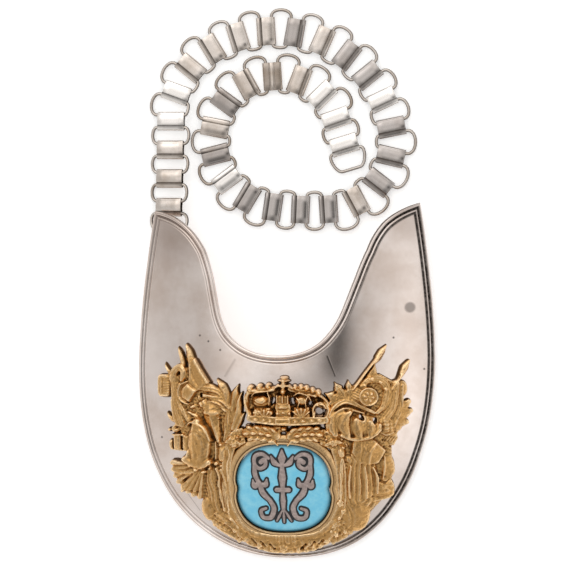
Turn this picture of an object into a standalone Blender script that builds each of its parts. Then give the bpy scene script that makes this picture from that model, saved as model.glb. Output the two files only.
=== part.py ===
"""A parade gorget lying on its back edges, with its chain laid out above it in a spiral.

Metres, +Z up. The gorget's long axis is Y, its horns point to +Y, and it rests on z = 0.
Sizes are in millimetres from the middle of the plate's widest place, and MM makes them metres.
"""

import math
from dataclasses import dataclass, replace

import bmesh
import bpy
from mathutils import Matrix, Vector

MM = 0.001

MIDDLE_AT = (-0.3, 40.66)  # of the whole object's width and length

# ---- the plate: its outline in plan, its bulge and its rim, in millimetres ----
HALF_WIDTH = 78.7  # widest, at y = 0
LOWER_REACH = 104.4  # from the widest place down to the lower edge
OUTLINE_POWER = 2.25  # of the superellipse below the widest place
HORN_REACH = 83.0  # from the widest place up to the right horn's tip
LEFT_HORN_SHORT = 4.0  # how much lower the left horn ends
HORN_TAPER = 8.9  # how much narrower each side is at the horn tips
TAPER_POWER = 1.6
NECK_BOTTOM = ((0.0, 3.2), (18.0, 3.2), (27.8, 12.3), (32.2, 26.4))  # Bezier handles
NECK_SIDE = ((32.2, 26.4), (39.8, 51.0), (42.8, 74.5))  # and on to the horn tip
# the edges are cut by hand: height y, then how far the edge lies to the right of the even shape
OUTER_SHIFT = ((-104.0, 1.2), (-87.0, -0.2), (-75.0, -1.0), (-50.0, -1.3), (0.0, -0.3), (83.0, 0.8))
NECK_SHIFT = ((15.0, -2.0), (44.0, 0.8), (58.0, 1.5), (73.0, 0.3), (83.0, 0.8))
BOW_AXIS = -0.6  # where the bend across the chest is highest
BOW_RADIUS = 125.0  # bend across the chest
SWELL_RADIUS = 215.0  # bend from the neck down to the lower edge
HORN_DROP = 2.6  # how far the horns bend back
CROWN_HEIGHT = 30.54  # of the plate's top over the table
PLATE_THICKNESS = 1.2
FLANGE_DEPTH = 2.0  # of the turned-down edge below the plate's face
FLANGE_THICKNESS = 0.9
RIM_WIDTH = 5.3
# the rim's section, from the edge inwards: distance in from the edge, rise over the face
RIM_FACE = ((0.0, -FLANGE_DEPTH), (0.0, 0.2), (1.05, 0.95), (2.1, 0.1), (3.2, 0.55), (4.3, 0.0))
RIM_BACK = ((FLANGE_THICKNESS, -FLANGE_DEPTH), (1.3, -PLATE_THICKNESS), (RIM_WIDTH, -PLATE_THICKNESS))
LOWER_STEPS = 10  # facets of each lower quarter of the outline
FACE_STEPS = 4  # bands of the face between neck and outer edge
BACK_STEPS = 3

# ---- the ornament ----
PIECE_GAP = 0.35  # between pieces that lie on or against each other
BASE_RISE = 0.65  # of a modelled element's underside over the plate
GROUND_TOP = 1.1  # of the sheet that a trophy's elements stand on
RIM_CLEAR = 1.35  # of what reaches over the rim's beads
MEDALLION_AT = (0.2, -65.8)
MEDALLION_HALF = (24.8, 23.3)  # half its width and height
MEDALLION_POWER = 2.3
FRAME_WIDTH = 5.0
FRAME_RISE = 3.0
ENAMEL_RISE = 2.2  # of the plaque's edge over the plate
ENAMEL_DOME = 1.5  # of its middle over its edge
ORNAMENT_RISE = 0.5  # of the applied ornament over the enamel

# ---- the chain ----
CHAIN_START = (-62.9, 81.1)
CHAIN_HEADING = 88.9  # degrees from +X, of the first clip
OUTER_PITCH = 15.25  # from clip to clip
INNER_PITCH = 14.5  # where the coil is tighter and the rings slide deeper into the clips
END_REACH = 13.4  # from the last clip's middle to the far side of the free ring
CLIP_SPAN = 14.6  # across the chain
CLIP_LENGTH = 10.1  # along it
CLIP_DEPTH = 3.2
CLIP_WALL = 0.4
WIRE = 1.7  # diameter of the rings' wire
WIRE_SEAT = 3.2  # from the clip's middle to the wire that it holds
RING_HANDLE = 3.6  # length of the handles at a ring's rounded ends, where the chain runs straight
RING_SLIDE = 1.0  # how much they grow for each millimetre that the ends are further apart
RING_LEAST = 1.6  # length of the shortest handles, inside a bend
FREE_SIDE = 9.2  # straight run on the free side of the end ring
CLIP_LIFT = (17.0, 13.6, 10.2, 6.8, 3.4)  # degrees by which the first clips lean inwards

# ---- what fastens the chain, under the horns ----
STAPLE_AT = (-65.0, 68.7)
STAPLE_HANG = 3.6  # from its foot down to the middle of the ring's wire
STAPLE_WIRE = 1.2
ANCHOR_LEAN = 10.0  # degrees by which the first ring leans more than the first clip
HOOK_AT = (64.5, 66.0)
HOOK_WIRE = 1.4


@dataclass(frozen=True)
class Stretch:
    """A run of the chain in which each link turns by the same angle."""

    links: int
    turn: float  # degrees, clockwise turns are negative
    pitch: float = OUTER_PITCH


CHAIN_LAY = (
    Stretch(links=3, turn=0.0),
    Stretch(links=3, turn=-19.2),
    Stretch(links=8, turn=-13.8),
    Stretch(links=4, turn=-24.3),
    Stretch(links=2, turn=-6.1, pitch=14.9),
    Stretch(links=3, turn=-22.6, pitch=INNER_PITCH),
    Stretch(links=7, turn=-25.0, pitch=INNER_PITCH),
    Stretch(links=1, turn=-2.3, pitch=INNER_PITCH),
)


@dataclass(frozen=True)
class Boss:
    """A raised shape with a rounded outline and a domed top."""

    at: tuple  # plan position of its middle
    size: tuple  # length and width
    rise: float  # of its top over the plate
    turn: float = 0.0  # degrees from +X to its length
    power: float = 2.0  # 2 is an ellipse, 4 a rounded box, 1.3 a pointed leaf
    sides: int = 8
    base: float = BASE_RISE  # of its underside over the plate


@dataclass(frozen=True)
class Strip:
    """A ridged band along a curve, such as a leaf, a pole, a fold or a moulding."""

    path: tuple  # plan positions: start, middle and end
    widths: tuple  # at those places
    rise: float  # of its ridge over the plate
    steps: int = 3
    base: float = BASE_RISE  # of its underside over the plate


TROPHY_LEFT = (
    # spear blades and the banner below them
    Strip(path=((-50.9, 8.9), (-48.8, 4.5), (-46.2, -0.5)), widths=(0.8, 4.4, 3.6), rise=3.4),
    Strip(path=((-54.8, 6.9), (-53.5, 2.8), (-50.5, -3.0)), widths=(0.6, 2.8, 2.2), rise=2.6),
    Strip(path=((-62.4, -0.4), (-60.3, -4.5), (-56.0, -8.5)), widths=(0.6, 2.2, 3.0), rise=2.2),
    Strip(path=((-47.3, 1.0), (-42.6, -7.0), (-36.2, -16.5)), widths=(5.0, 8.5, 12.0), rise=2.6),
    Strip(path=((-49.5, -1.5), (-45.0, -9.5), (-39.0, -18.5)), widths=(4.0, 5.0, 6.0), rise=3.4),
    # leaves beside the crown
    Strip(path=((-33.9, -8.6), (-30.0, -13.0), (-27.5, -22.0)), widths=(1.0, 6.0, 5.0), rise=3.2),
    Strip(path=((-21.6, -11.8), (-25.2, -16.5), (-27.4, -24.0)), widths=(0.8, 5.0, 4.4), rise=3.0),
    Strip(path=((-19.6, -19.5), (-21.6, -27.0), (-25.2, -36.0)), widths=(1.2, 6.4, 5.0), rise=3.2),
    Strip(path=((-27.5, -25.5), (-30.6, -33.0), (-29.8, -42.0)), widths=(1.0, 6.5, 4.0), rise=3.0),
    Strip(path=((-15.0, -28.4), (-18.6, -32.0), (-22.5, -34.5)), widths=(0.8, 3.6, 3.0), rise=2.4),
    Strip(path=((-61.2, -27.5), (-57.8, -30.0), (-53.0, -33.2)), widths=(0.8, 3.8, 3.4), rise=2.2),
    # drum, knotted cloth, kettledrum and barrels
    Boss(at=(-62.7, -13.0), size=(12.0, 6.6), rise=3.0, turn=86.0, power=4.0),
    Strip(path=((-51.5, -3.5), (-58.8, -15.0), (-53.5, -33.0)), widths=(5.0, 5.6, 5.0), rise=3.6, steps=5),
    Strip(path=((-48.0, -6.0), (-55.0, -17.0), (-48.5, -31.0)), widths=(4.0, 4.6, 5.0), rise=3.0, steps=4),
    Boss(at=(-47.6, -17.0), size=(11.5, 9.6), rise=5.0, turn=25.0),
    Boss(at=(-40.6, -21.2), size=(8.0, 4.6), rise=4.0, turn=-38.0, power=4.0),
    Strip(path=((-38.5, -23.0), (-32.5, -16.8), (-26.6, -23.4)), widths=(3.6, 4.4, 3.0), rise=4.2, steps=4),
    # cuirass, horn and cartridge boxes
    Boss(at=(-42.6, -44.8), size=(28.0, 13.6), rise=7.0, turn=98.0, power=2.5, sides=12),
    Strip(path=((-34.6, -25.0), (-33.4, -33.0), (-32.0, -42.0)), widths=(9.6, 6.0, 2.6), rise=4.8),
    Boss(at=(-57.2, -40.0), size=(10.0, 3.8), rise=3.2, turn=80.0, power=4.0, sides=6),
    Boss(at=(-53.4, -41.6), size=(10.0, 3.8), rise=3.8, turn=80.0, power=4.0, sides=6),
    Boss(at=(-49.6, -43.0), size=(10.0, 3.8), rise=3.4, turn=80.0, power=4.0, sides=6),
    Boss(at=(-59.0, -36.0), size=(3.6, 3.0), rise=3.2, turn=0.0, sides=6),
    # oval paddle, folds below the cuirass and the tassel
    Boss(at=(-39.8, -77.4), size=(13.0, 7.0), rise=2.8, turn=95.0),
    Strip(path=((-37.2, -55.0), (-37.0, -63.0), (-39.0, -72.0)), widths=(4.2, 4.0, 3.0), rise=3.4),
    Strip(path=((-33.8, -38.0), (-33.0, -57.0), (-34.2, -77.0)), widths=(4.6, 6.2, 5.0), rise=3.2),
    Strip(path=((-29.6, -46.0), (-29.8, -62.0), (-29.4, -79.0)), widths=(3.4, 6.0, 5.0), rise=2.6, steps=4),
    Boss(at=(-29.2, -77.4), size=(5.0, 4.6), rise=3.8, sides=6),
    # cannon and camp gear along the lower edge
    Strip(
        path=((-37.6, -79.0), (-30.0, -86.5), (-21.8, -93.2)),
        widths=(8.0, 8.6, 6.0), rise=3.0, base=RIM_CLEAR,
    ),
    Boss(at=(-30.5, -86.5), size=(12.0, 4.4), rise=3.6, turn=-52.0, power=4.0, sides=6),
)
TROPHY_LEFT_GROUND = (
    # y, then where the sheet starts and ends
    (0.0, -50.0, -44.5),
    (-9.0, -60.0, -36.0),
    (-20.0, -63.0, -22.0),
    (-33.0, -59.5, -21.5),
    (-46.0, -50.0, -27.0),
    (-60.0, -50.0, -26.5),
    (-74.0, -43.5, -26.5),
    (-86.0, -35.0, -25.0),
)
TROPHY_LEFT_SKIRT = dict(
    pivot=(-41.5, -54.0), first=172.0, last=262.0, inner=3.0, outer=18.6, pleats=6, rise=3.2
)
TROPHY_RIGHT = (
    # spears with their poles
    Strip(path=((53.5, 9.0), (51.5, 3.6), (47.9, -0.6)), widths=(0.8, 4.6, 2.0), rise=3.0),
    Strip(path=((48.6, 0.8), (42.4, -5.4), (35.0, -13.4)), widths=(2.0, 2.0, 2.0), rise=2.6),
    Strip(path=((65.3, 0.2), (63.2, -5.0), (58.8, -9.0)), widths=(0.8, 4.6, 2.2), rise=3.0),
    Strip(path=((59.6, -7.8), (56.0, -17.0), (50.4, -30.0)), widths=(2.2, 3.0, 5.0), rise=3.6),
    # oak leaves
    Strip(path=((28.0, -10.4), (31.0, -15.0), (36.0, -21.0)), widths=(1.6, 5.2, 5.0), rise=2.6),
    Strip(path=((33.6, -10.2), (35.4, -14.6), (38.0, -21.0)), widths=(1.4, 4.6, 5.0), rise=3.0),
    Strip(path=((22.6, -15.0), (28.6, -18.6), (36.0, -22.0)), widths=(1.4, 5.6, 5.0), rise=2.6),
    Strip(path=((37.8, -9.6), (39.4, -13.0), (41.0, -18.0)), widths=(1.4, 4.0, 4.0), rise=2.6),
    # drum with its rosette, the plume round it and the flag
    Boss(at=(44.2, -16.3), size=(13.4, 12.0), rise=5.6, turn=-20.0, sides=10),
    Strip(path=((39.6, -10.0), (51.0, -2.6), (54.0, -15.6)), widths=(4.0, 7.0, 6.6), rise=3.6, steps=5),
    Strip(path=((53.5, -13.0), (55.0, -20.0), (50.8, -25.8)), widths=(5.0, 6.0, 5.0), rise=3.8),
    Boss(at=(60.0, -14.4), size=(8.4, 6.4), rise=2.6, turn=70.0),
    Boss(at=(60.6, -24.4), size=(11.4, 8.4), rise=3.0, turn=75.0),
    Boss(at=(58.4, -32.0), size=(9.0, 7.6), rise=3.2, turn=60.0),
    Strip(path=((55.8, -36.0), (57.0, -39.6), (55.0, -44.2)), widths=(7.0, 6.4, 3.4), rise=2.6),
    # scroll, shell, vase and small drum
    Strip(path=((23.4, -32.0), (29.4, -12.4), (48.0, -24.4)), widths=(3.4, 4.6, 4.6), rise=4.4, steps=5),
    Boss(at=(28.6, -29.8), size=(15.0, 9.2), rise=4.2, turn=55.0, sides=10),
    Boss(at=(39.8, -31.2), size=(17.6, 15.6), rise=5.0, turn=-10.0, power=2.4, sides=12),
    Boss(at=(52.6, -32.8), size=(9.4, 8.8), rise=4.0, power=3.0),
    Boss(at=(49.6, -39.0), size=(8.0, 5.0), rise=2.6, turn=-30.0, sides=6),
    # faceted shield, knob and lobes
    Boss(at=(43.4, -45.6), size=(19.0, 14.4), rise=5.4, turn=8.0, power=2.6, sides=6),
    Boss(at=(30.8, -45.8), size=(6.8, 6.0), rise=4.4),
    Boss(at=(34.8, -50.4), size=(6.0, 4.4), rise=3.4, turn=-40.0, sides=6),
    Boss(at=(53.4, -54.6), size=(12.6, 7.6), rise=3.0, turn=102.0),
    Boss(at=(52.6, -66.0), size=(12.0, 8.0), rise=3.4, turn=62.0),
    Boss(at=(45.8, -70.6), size=(11.6, 4.6), rise=3.0, turn=-4.0, sides=6),
    # folded drape, disc and cords
    Strip(path=((34.6, -52.0), (34.4, -61.0), (34.0, -71.0)), widths=(4.0, 4.6, 5.0), rise=3.4),
    Strip(path=((38.8, -52.0), (38.8, -61.0), (38.6, -71.0)), widths=(4.4, 4.8, 5.0), rise=4.0),
    Strip(path=((43.4, -52.0), (43.8, -61.0), (44.0, -70.0)), widths=(4.4, 4.8, 5.0), rise=3.8),
    Strip(path=((48.0, -52.0), (48.8, -60.0), (49.0, -69.0)), widths=(4.4, 4.8, 5.0), rise=3.6),
    Boss(at=(38.4, -77.6), size=(17.0, 11.0), rise=4.0, turn=80.0, sides=10),
    Boss(at=(30.9, -73.8), size=(5.6, 5.6), rise=3.6, sides=6),
    Strip(
        path=((38.8, -83.4), (31.6, -88.6), (23.0, -94.6)),
        widths=(7.0, 7.6, 6.0), rise=3.0, base=RIM_CLEAR,
    ),
    Boss(at=(31.0, -86.8), size=(9.0, 4.4), rise=3.8, turn=38.0, power=4.0, sides=6),
)
TROPHY_RIGHT_GROUND = (
    (-1.0, 46.5, 50.5),
    (-8.0, 38.0, 57.0),
    (-18.0, 27.0, 63.0),
    (-30.0, 24.0, 61.0),
    (-44.0, 30.0, 57.0),
    (-58.0, 32.0, 56.5),
    (-72.0, 29.0, 53.0),
    (-86.0, 28.0, 38.0),
)
FRAME_EXTRAS = (
    # laurel bundles over the medallion, tied to a rosette at each end
    Strip(path=((-21.0, -37.2), (-11.0, -34.9), (-1.2, -39.6)), widths=(5.4, 6.6, 4.4), rise=4.4, steps=4),
    Strip(path=((21.6, -37.6), (11.6, -34.9), (1.9, -39.6)), widths=(5.4, 6.6, 4.4), rise=4.4, steps=4),
    Boss(at=(-24.3, -39.9), size=(7.0, 6.6), rise=4.6),
    Boss(at=(24.6, -40.4), size=(6.4, 6.0), rise=4.4),
    # rocks and rosettes under it
    Strip(
        path=((-19.6, -92.6), (0.0, -99.0), (20.0, -92.6)),
        widths=(6.6, 7.6, 6.6), rise=3.0, steps=6, base=RIM_CLEAR,
    ),
    Boss(at=(-12.4, -94.6), size=(6.4, 4.6), rise=3.6, turn=-20.0, sides=6, base=RIM_CLEAR),
    Boss(at=(0.2, -96.4), size=(8.4, 6.0), rise=3.8, sides=6, base=RIM_CLEAR),
    Boss(at=(12.8, -94.6), size=(6.4, 4.6), rise=3.6, turn=20.0, sides=6, base=RIM_CLEAR),
)
CROWN_PARTS = (
    # the band, bowed downwards at its middle
    Strip(path=((-14.2, -28.8), (1.0, -32.0), (21.4, -29.4)), widths=(4.6, 5.0, 4.6), rise=5.0, steps=5),
    # outer arches, then the inner ones
    Strip(path=((-13.2, -28.6), (-23.0, -17.0), (-9.0, -12.2)), widths=(2.6, 3.0, 3.2), rise=4.4, steps=5),
    Strip(path=((20.8, -29.2), (28.6, -20.0), (15.0, -14.6)), widths=(2.6, 3.0, 3.2), rise=4.4, steps=5),
    Strip(path=((-12.4, -13.2), (-4.4, -10.2), (1.6, -18.2)), widths=(3.4, 3.2, 2.6), rise=5.4, steps=4),
    Strip(path=((17.6, -15.4), (9.2, -10.2), (2.6, -18.2)), widths=(3.4, 3.2, 2.6), rise=5.4, steps=4),
    # middle column, orb and cross
    Strip(path=((2.0, -12.0), (2.0, -20.0), (1.8, -29.0)), widths=(3.0, 5.0, 4.4), rise=6.0),
    Boss(at=(2.0, -12.6), size=(4.6, 4.2), rise=7.4),
    Strip(path=((2.0, -7.6), (2.0, -9.6), (2.0, -11.6)), widths=(2.4, 1.6, 2.0), rise=6.2, steps=2),
    Strip(path=((-0.9, -9.2), (2.0, -9.2), (4.9, -9.2)), widths=(2.0, 1.6, 2.0), rise=6.0, steps=2),
    # leaves that stand on the band
    Strip(path=((-9.6, -16.4), (-9.0, -21.0), (-8.2, -28.0)), widths=(5.4, 2.8, 5.2), rise=5.4),
    Strip(path=((12.8, -17.4), (12.6, -22.0), (12.2, -28.0)), widths=(5.4, 2.8, 5.2), rise=5.4),
)
CROWN_PEARLS = ((-15.8, -13.4), (-10.6, -11.6), (-5.4, -10.6), (8.6, -11.4), (13.6, -12.8), (18.0, -14.8))
PEARL = 3.2


# ---- the form of the plate ----


def face_height(x, y):
    """Height of the plate's face over the table: one bend across and another lengthwise."""
    across = BOW_RADIUS - math.sqrt(BOW_RADIUS**2 - (x - BOW_AXIS) ** 2)
    if y < 0:
        along = SWELL_RADIUS - math.sqrt(SWELL_RADIUS**2 - y**2)
    else:
        along = HORN_DROP * (y / HORN_REACH) ** 2
    return CROWN_HEIGHT - across - along


def face_normal(x, y):
    """Outward direction of the plate's face, from the slopes of the two bends."""
    slope_x = (BOW_AXIS - x) / math.sqrt(BOW_RADIUS**2 - (x - BOW_AXIS) ** 2)
    if y < 0:
        slope_y = -y / math.sqrt(SWELL_RADIUS**2 - y**2)
    else:
        slope_y = -2 * HORN_DROP * y / HORN_REACH**2
    return Vector((-slope_x, -slope_y, 1.0)).normalized()


def on_plate(x, y, rise):
    """The place at this distance over the face, in metres."""
    return (Vector((x, y, face_height(x, y))) + face_normal(x, y) * rise) * MM


def bezier(handles, t):
    """A point on the cubic curve through the first and last handle."""
    a, b, c, d = (Vector(handle) for handle in handles)
    s = 1 - t
    return a * s**3 + b * (3 * t * s**2) + c * (3 * t**2 * s) + d * t**3


def horn_tip(side):
    """The tip of the right horn (1) or of the left one (-1), as if it were on the right."""
    height = HORN_REACH - (LEFT_HORN_SHORT if side < 0 else 0.0)
    return (HALF_WIDTH - HORN_TAPER * (height / HORN_REACH) ** TAPER_POWER, height)


def outer_side(side):
    """One half of the outer edge, from the horn tip to just before the lowest point."""
    points = [horn_tip(side)]
    for y in (70.0, 52.0, 34.0, 17.0):
        points.append((HALF_WIDTH - HORN_TAPER * (y / HORN_REACH) ** TAPER_POWER, y))
    for i in range(LOWER_STEPS):
        angle = math.radians(90) * i / LOWER_STEPS
        x = HALF_WIDTH * math.cos(angle) ** (2 / OUTLINE_POWER)
        y = -LOWER_REACH * math.sin(angle) ** (2 / OUTLINE_POWER)
        points.append((x, y))
    return points


def neck_side(side):
    """One half of the neck edge, from its lowest point up to just before the horn tip."""
    points = [tuple(bezier(NECK_BOTTOM, t)) for t in (0, 0.17, 0.33, 0.48, 0.62, 0.75, 0.88)]
    rise = NECK_SIDE + (horn_tip(side),)
    return points + [tuple(bezier(rise, t)) for t in (0, 0.14, 0.28, 0.41, 0.52, 0.62, 0.7, 0.77)]


def placed(points, side, shifts):
    """The points on their own side, each moved by the shift of the rows around its height."""
    moved = []
    for x, y in points:
        low, high = shifts[0], shifts[-1]
        for row in shifts:
            if row[0] <= y:
                low = row
            elif high[0] > row[0]:
                high = row
        reach = high[0] - low[0]
        share = min(1.0, max(0.0, (y - low[0]) / reach)) if reach > 0 else 0.0
        moved.append((side * x + low[1] + (high[1] - low[1]) * share, y))
    return moved


def plate_outline():
    """The whole edge clockwise: left horn tip, neck, right horn tip, then the outer edge."""
    left_neck = placed(reversed(neck_side(-1)[1:]), -1, NECK_SHIFT)
    right_neck = placed(neck_side(1), 1, NECK_SHIFT)
    right_outer = placed([*outer_side(1), (0.0, -LOWER_REACH)], 1, OUTER_SHIFT)
    left_outer = placed(reversed(outer_side(-1)[1:]), -1, OUTER_SHIFT)
    left_tip = placed([horn_tip(-1)], -1, OUTER_SHIFT)
    return left_tip + left_neck + right_neck + right_outer + left_outer


# ---- meshes ----


def clear_scene():
    for obj in list(bpy.data.objects):
        bpy.data.objects.remove(obj, do_unlink=True)


def material(name, color, roughness, metallic):
    made = bpy.data.materials.new(name)
    made.use_nodes = True
    shader = made.node_tree.nodes["Principled BSDF"]
    shader.inputs["Base Color"].default_value = (*color, 1.0)
    shader.inputs["Roughness"].default_value = roughness
    shader.inputs["Metallic"].default_value = metallic
    made.diffuse_color = (*color, 1.0)
    return made


def object_from(shape, name):
    """A scene object of this bmesh, closed, facing outwards and in flat triangles."""
    bmesh.ops.triangulate(shape, faces=shape.faces)
    bmesh.ops.recalc_face_normals(shape, faces=shape.faces)
    mesh = bpy.data.meshes.new(name)
    shape.to_mesh(mesh)
    shape.free()
    obj = bpy.data.objects.new(name, mesh)
    bpy.context.scene.collection.objects.link(obj)
    return obj


def combine(base, others, operation):
    """Joins the others to the base, or cuts them from it, and removes them."""
    for other in others:
        modifier = base.modifiers.new(operation.lower(), "BOOLEAN")
        modifier.operation = operation
        modifier.solver = "MANIFOLD"
        modifier.object = other
    graph = bpy.context.evaluated_depsgraph_get()
    mesh = bpy.data.meshes.new_from_object(base.evaluated_get(graph))
    base.modifiers.clear()
    base.data = mesh
    for other in others:
        bpy.data.objects.remove(other, do_unlink=True)
    return base


def drop_crumbs(obj):
    """Keeps the largest connected body, without the crumbs that a cut leaves at its edges."""
    shape = bmesh.new()
    shape.from_mesh(obj.data)
    bmesh.ops.remove_doubles(shape, verts=shape.verts, dist=1e-7)
    left = set(shape.verts)
    bodies = []
    while left:
        grown = [left.pop()]
        body = set(grown)
        while grown:
            for edge in grown.pop().link_edges:
                for vertex in edge.verts:
                    if vertex not in body:
                        body.add(vertex)
                        grown.append(vertex)
        left -= body
        bodies.append(body)
    main = max(bodies, key=len)
    bmesh.ops.delete(shape, geom=[v for v in shape.verts if v not in main], context="VERTS")
    shape.to_mesh(obj.data)
    shape.free()
    return obj


def finish(obj, name, look):
    obj.name = name
    obj.data.materials.clear()
    obj.data.materials.append(look)
    obj.data.shade_smooth()
    obj.data.set_sharp_from_angle(angle=math.radians(35))


def bridge(shape, loops, closed=True):
    """Quads between each loop of vertices and the next one."""
    for first, second in zip(loops, loops[1:]):
        count = len(first)
        for i in range(count if closed else count - 1):
            j = (i + 1) % count
            shape.faces.new((first[i], first[j], second[j], second[i]))


def fan(shape, loop, place):
    """Triangles from a loop of vertices to one more vertex."""
    middle = shape.verts.new(place)
    for a, b in zip(loop, loop[1:] + loop[:1]):
        shape.faces.new((a, b, middle))


def no_lift(x, y):
    return 0.0


# ---- the plate ----


def inset_directions(outline):
    """At each outline point, the step along the face that moves one unit in from both its edges."""
    places = [on_plate(x, y, 0) for x, y in outline]
    count = len(places)
    steps = []
    for i, (x, y) in enumerate(outline):
        up = face_normal(x, y)
        before = (places[i] - places[i - 1]).normalized().cross(up)
        after = (places[(i + 1) % count] - places[i]).normalized().cross(up)
        steps.append((before + after) / (1 + before.dot(after)))
    return steps


def plate_side(shape, plan, rise, steps):
    """One face of the sheet, as ladders between the rim at the neck and the rim at the outer edge."""
    count = len(plan)
    loop = [shape.verts.new(on_plate(x, y, rise)) for x, y in plan]
    half = count // 2
    rungs = [[loop[0]] * (steps + 1)]
    for i in range(1, half):
        near, far = Vector(plan[i]), Vector(plan[count - i])
        between = [near.lerp(far, j / steps) for j in range(1, steps)]
        inner = [shape.verts.new(on_plate(p.x, p.y, rise)) for p in between]
        rungs.append([loop[i], *inner, loop[count - i]])
    rungs.append([loop[half]] * (steps + 1))
    for first, second in zip(rungs, rungs[1:]):
        for j in range(steps):
            corners = dict.fromkeys((first[j], first[j + 1], second[j + 1], second[j]))
            shape.faces.new(tuple(corners))
    return loop


def inset_plan():
    """A function that gives the plate's outline moved in along its face by a distance."""
    outline = plate_outline()
    steps = inset_directions(outline)

    def plan_at(inset):
        return [(x + step.x * inset, y + step.y * inset) for (x, y), step in zip(outline, steps)]

    return plan_at


def build_plate():
    plan_at = inset_plan()
    shape = bmesh.new()
    section = list(reversed(RIM_BACK)) + list(RIM_FACE)
    loops = []
    for inset, rise in section[1:-1]:
        loops.append([shape.verts.new(on_plate(x, y, rise)) for x, y in plan_at(inset)])
    back = plate_side(shape, plan_at(section[0][0]), section[0][1], BACK_STEPS)
    face = plate_side(shape, plan_at(section[-1][0]), section[-1][1], FACE_STEPS)
    bridge(shape, [back, *loops, face])
    return object_from(shape, "plate")


# ---- the ornament ----

BOSS_SHOULDER = 0.75  # height of a Boss's shoulder, as a share of its rise
BOSS_TOP = 0.84  # size of its shoulder's outline, as a share of its foot's
TROPHY_KEEP = 0.54  # share of the triangles kept when a casting is simplified
FRAME_KEEP = 0.42
CROWN_KEEP = 0.85


def boss(part, lift=no_lift, grow=0.0):
    """A closed solid of one Boss, draped over the plate."""
    shape = bmesh.new()
    turn = Matrix.Rotation(math.radians(part.turn), 2)
    shoulder = part.base + BOSS_SHOULDER * (part.rise - part.base)
    loops = []
    for scale, rise in ((1.0, part.base), (BOSS_TOP, shoulder)):
        loop = []
        for i in range(part.sides):
            angle = 2 * math.pi * (i + 0.5) / part.sides
            c, s = math.cos(angle), math.sin(angle)
            reach = (abs(c) ** part.power + abs(s) ** part.power) ** (-1 / part.power)
            flat = Vector((c * reach * (part.size[0] / 2 + grow), s * reach * (part.size[1] / 2 + grow)))
            x, y = Vector(part.at) + turn @ (flat * scale)
            loop.append(shape.verts.new(on_plate(x, y, lift(x, y) + rise)))
        loops.append(loop)
    bridge(shape, loops)
    x, y = part.at
    for loop, rise in ((loops[0], part.base), (loops[-1], part.rise)):
        fan(shape, loop, on_plate(x, y, lift(x, y) + rise))
    return object_from(shape, "boss")


def strip(part, lift=no_lift, grow=0.0):
    """A closed solid of one Strip: a ridged section carried along a curve through its path."""
    shape = bmesh.new()
    start, middle, end = (Vector(place) for place in part.path)
    pull = middle * 2 - (start + end) / 2
    loops = []
    for i in range(part.steps + 1):
        t = i / part.steps
        place = start * (1 - t) ** 2 + pull * 2 * t * (1 - t) + end * t**2
        along = ((pull - start) * (1 - t) + (end - pull) * t).normalized()
        place = place + along * grow * (2 * t - 1)
        first, last = (0, 1) if t < 0.5 else (1, 2)
        share = 2 * t - first
        half = (part.widths[first] * (1 - share) + part.widths[last] * share) / 2 + grow
        side = Vector((-along.y, along.x))
        loop = []
        for out, rise in ((-1, part.base), (0, part.rise), (1, part.base)):
            x, y = place + side * half * out
            loop.append(shape.verts.new(on_plate(x, y, lift(x, y) + rise)))
        loops.append(loop)
    bridge(shape, loops)
    shape.faces.new(loops[0])
    shape.faces.new(loops[-1])
    return object_from(shape, "strip")


def relief(part, **how):
    return boss(part, **how) if isinstance(part, Boss) else strip(part, **how)


def keep_out(parts):
    """The same shapes grown by the gap and made tall, to cut room for them out of a neighbour."""
    for part in parts:
        yield relief(replace(part, rise=part.rise + 9.0, base=PIECE_GAP - 0.1), grow=2 * PIECE_GAP)


def grid_block(plan, bottom, top):
    """A closed sheet over a grid of plan positions: bottom and top give its rise at each."""
    shape = bmesh.new()
    sheets = []
    for rise_at in (bottom, top):
        sheet = [[shape.verts.new(on_plate(x, y, rise_at(x, y))) for x, y in line] for line in plan]
        bridge(shape, sheet, closed=False)
        sheets.append(sheet)
    borders = []
    for sheet in sheets:
        far_side = [line[-1] for line in sheet]
        near_side = [line[0] for line in sheet]
        borders.append(near_side + sheet[-1][1:] + far_side[::-1][1:] + sheet[0][::-1][1:-1])
    bridge(shape, borders)
    return object_from(shape, "sheet")


def ground(rows, columns=4):
    """The thin sheet that joins a trophy's elements; each row gives y and where it starts and ends."""
    plan = []
    for y, start, end in rows:
        plan.append([(start + (end - start) * i / columns, y) for i in range(columns + 1)])
    return grid_block(plan, lambda x, y: PIECE_GAP, lambda x, y: GROUND_TOP)


def bed(low, high, lift, cell=8.0):
    """A block under what lies on a lifted face, its top the gap above it."""
    columns = math.ceil((high[0] - low[0]) / cell)
    rows = math.ceil((high[1] - low[1]) / cell)
    plan = []
    for i in range(columns + 1):
        x = low[0] + (high[0] - low[0]) * i / columns
        plan.append([(x, low[1] + (high[1] - low[1]) * j / rows) for j in range(rows + 1)])
    return grid_block(plan, lambda x, y: -3.0, lambda x, y: lift(x, y) + PIECE_GAP)


def medallion_edge(offset, count=28):
    """The lobed outline of the medallion, moved outwards by the offset: a squarish oval with
    a small notch at each side."""
    points = []
    for i in range(count):
        angle = 2 * math.pi * i / count
        c, s = math.cos(angle), math.sin(angle)
        reach = (abs(c) ** MEDALLION_POWER + abs(s) ** MEDALLION_POWER) ** (-1 / MEDALLION_POWER)
        notch = 0.7 if i in (0, count // 2) else 0.0
        x = MEDALLION_AT[0] + c * reach * (MEDALLION_HALF[0] + offset) - math.copysign(notch, c)
        y = MEDALLION_AT[1] + s * reach * (MEDALLION_HALF[1] + offset)
        points.append((x, y))
    return points


def band(plan_at, section):
    """A closed moulding round an outline: its section gives distances from it and rises."""
    shape = bmesh.new()
    loops = [[shape.verts.new(on_plate(x, y, rise)) for x, y in plan_at(out)] for out, rise in section]
    bridge(shape, loops + loops[:1])
    return object_from(shape, "band")


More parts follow.
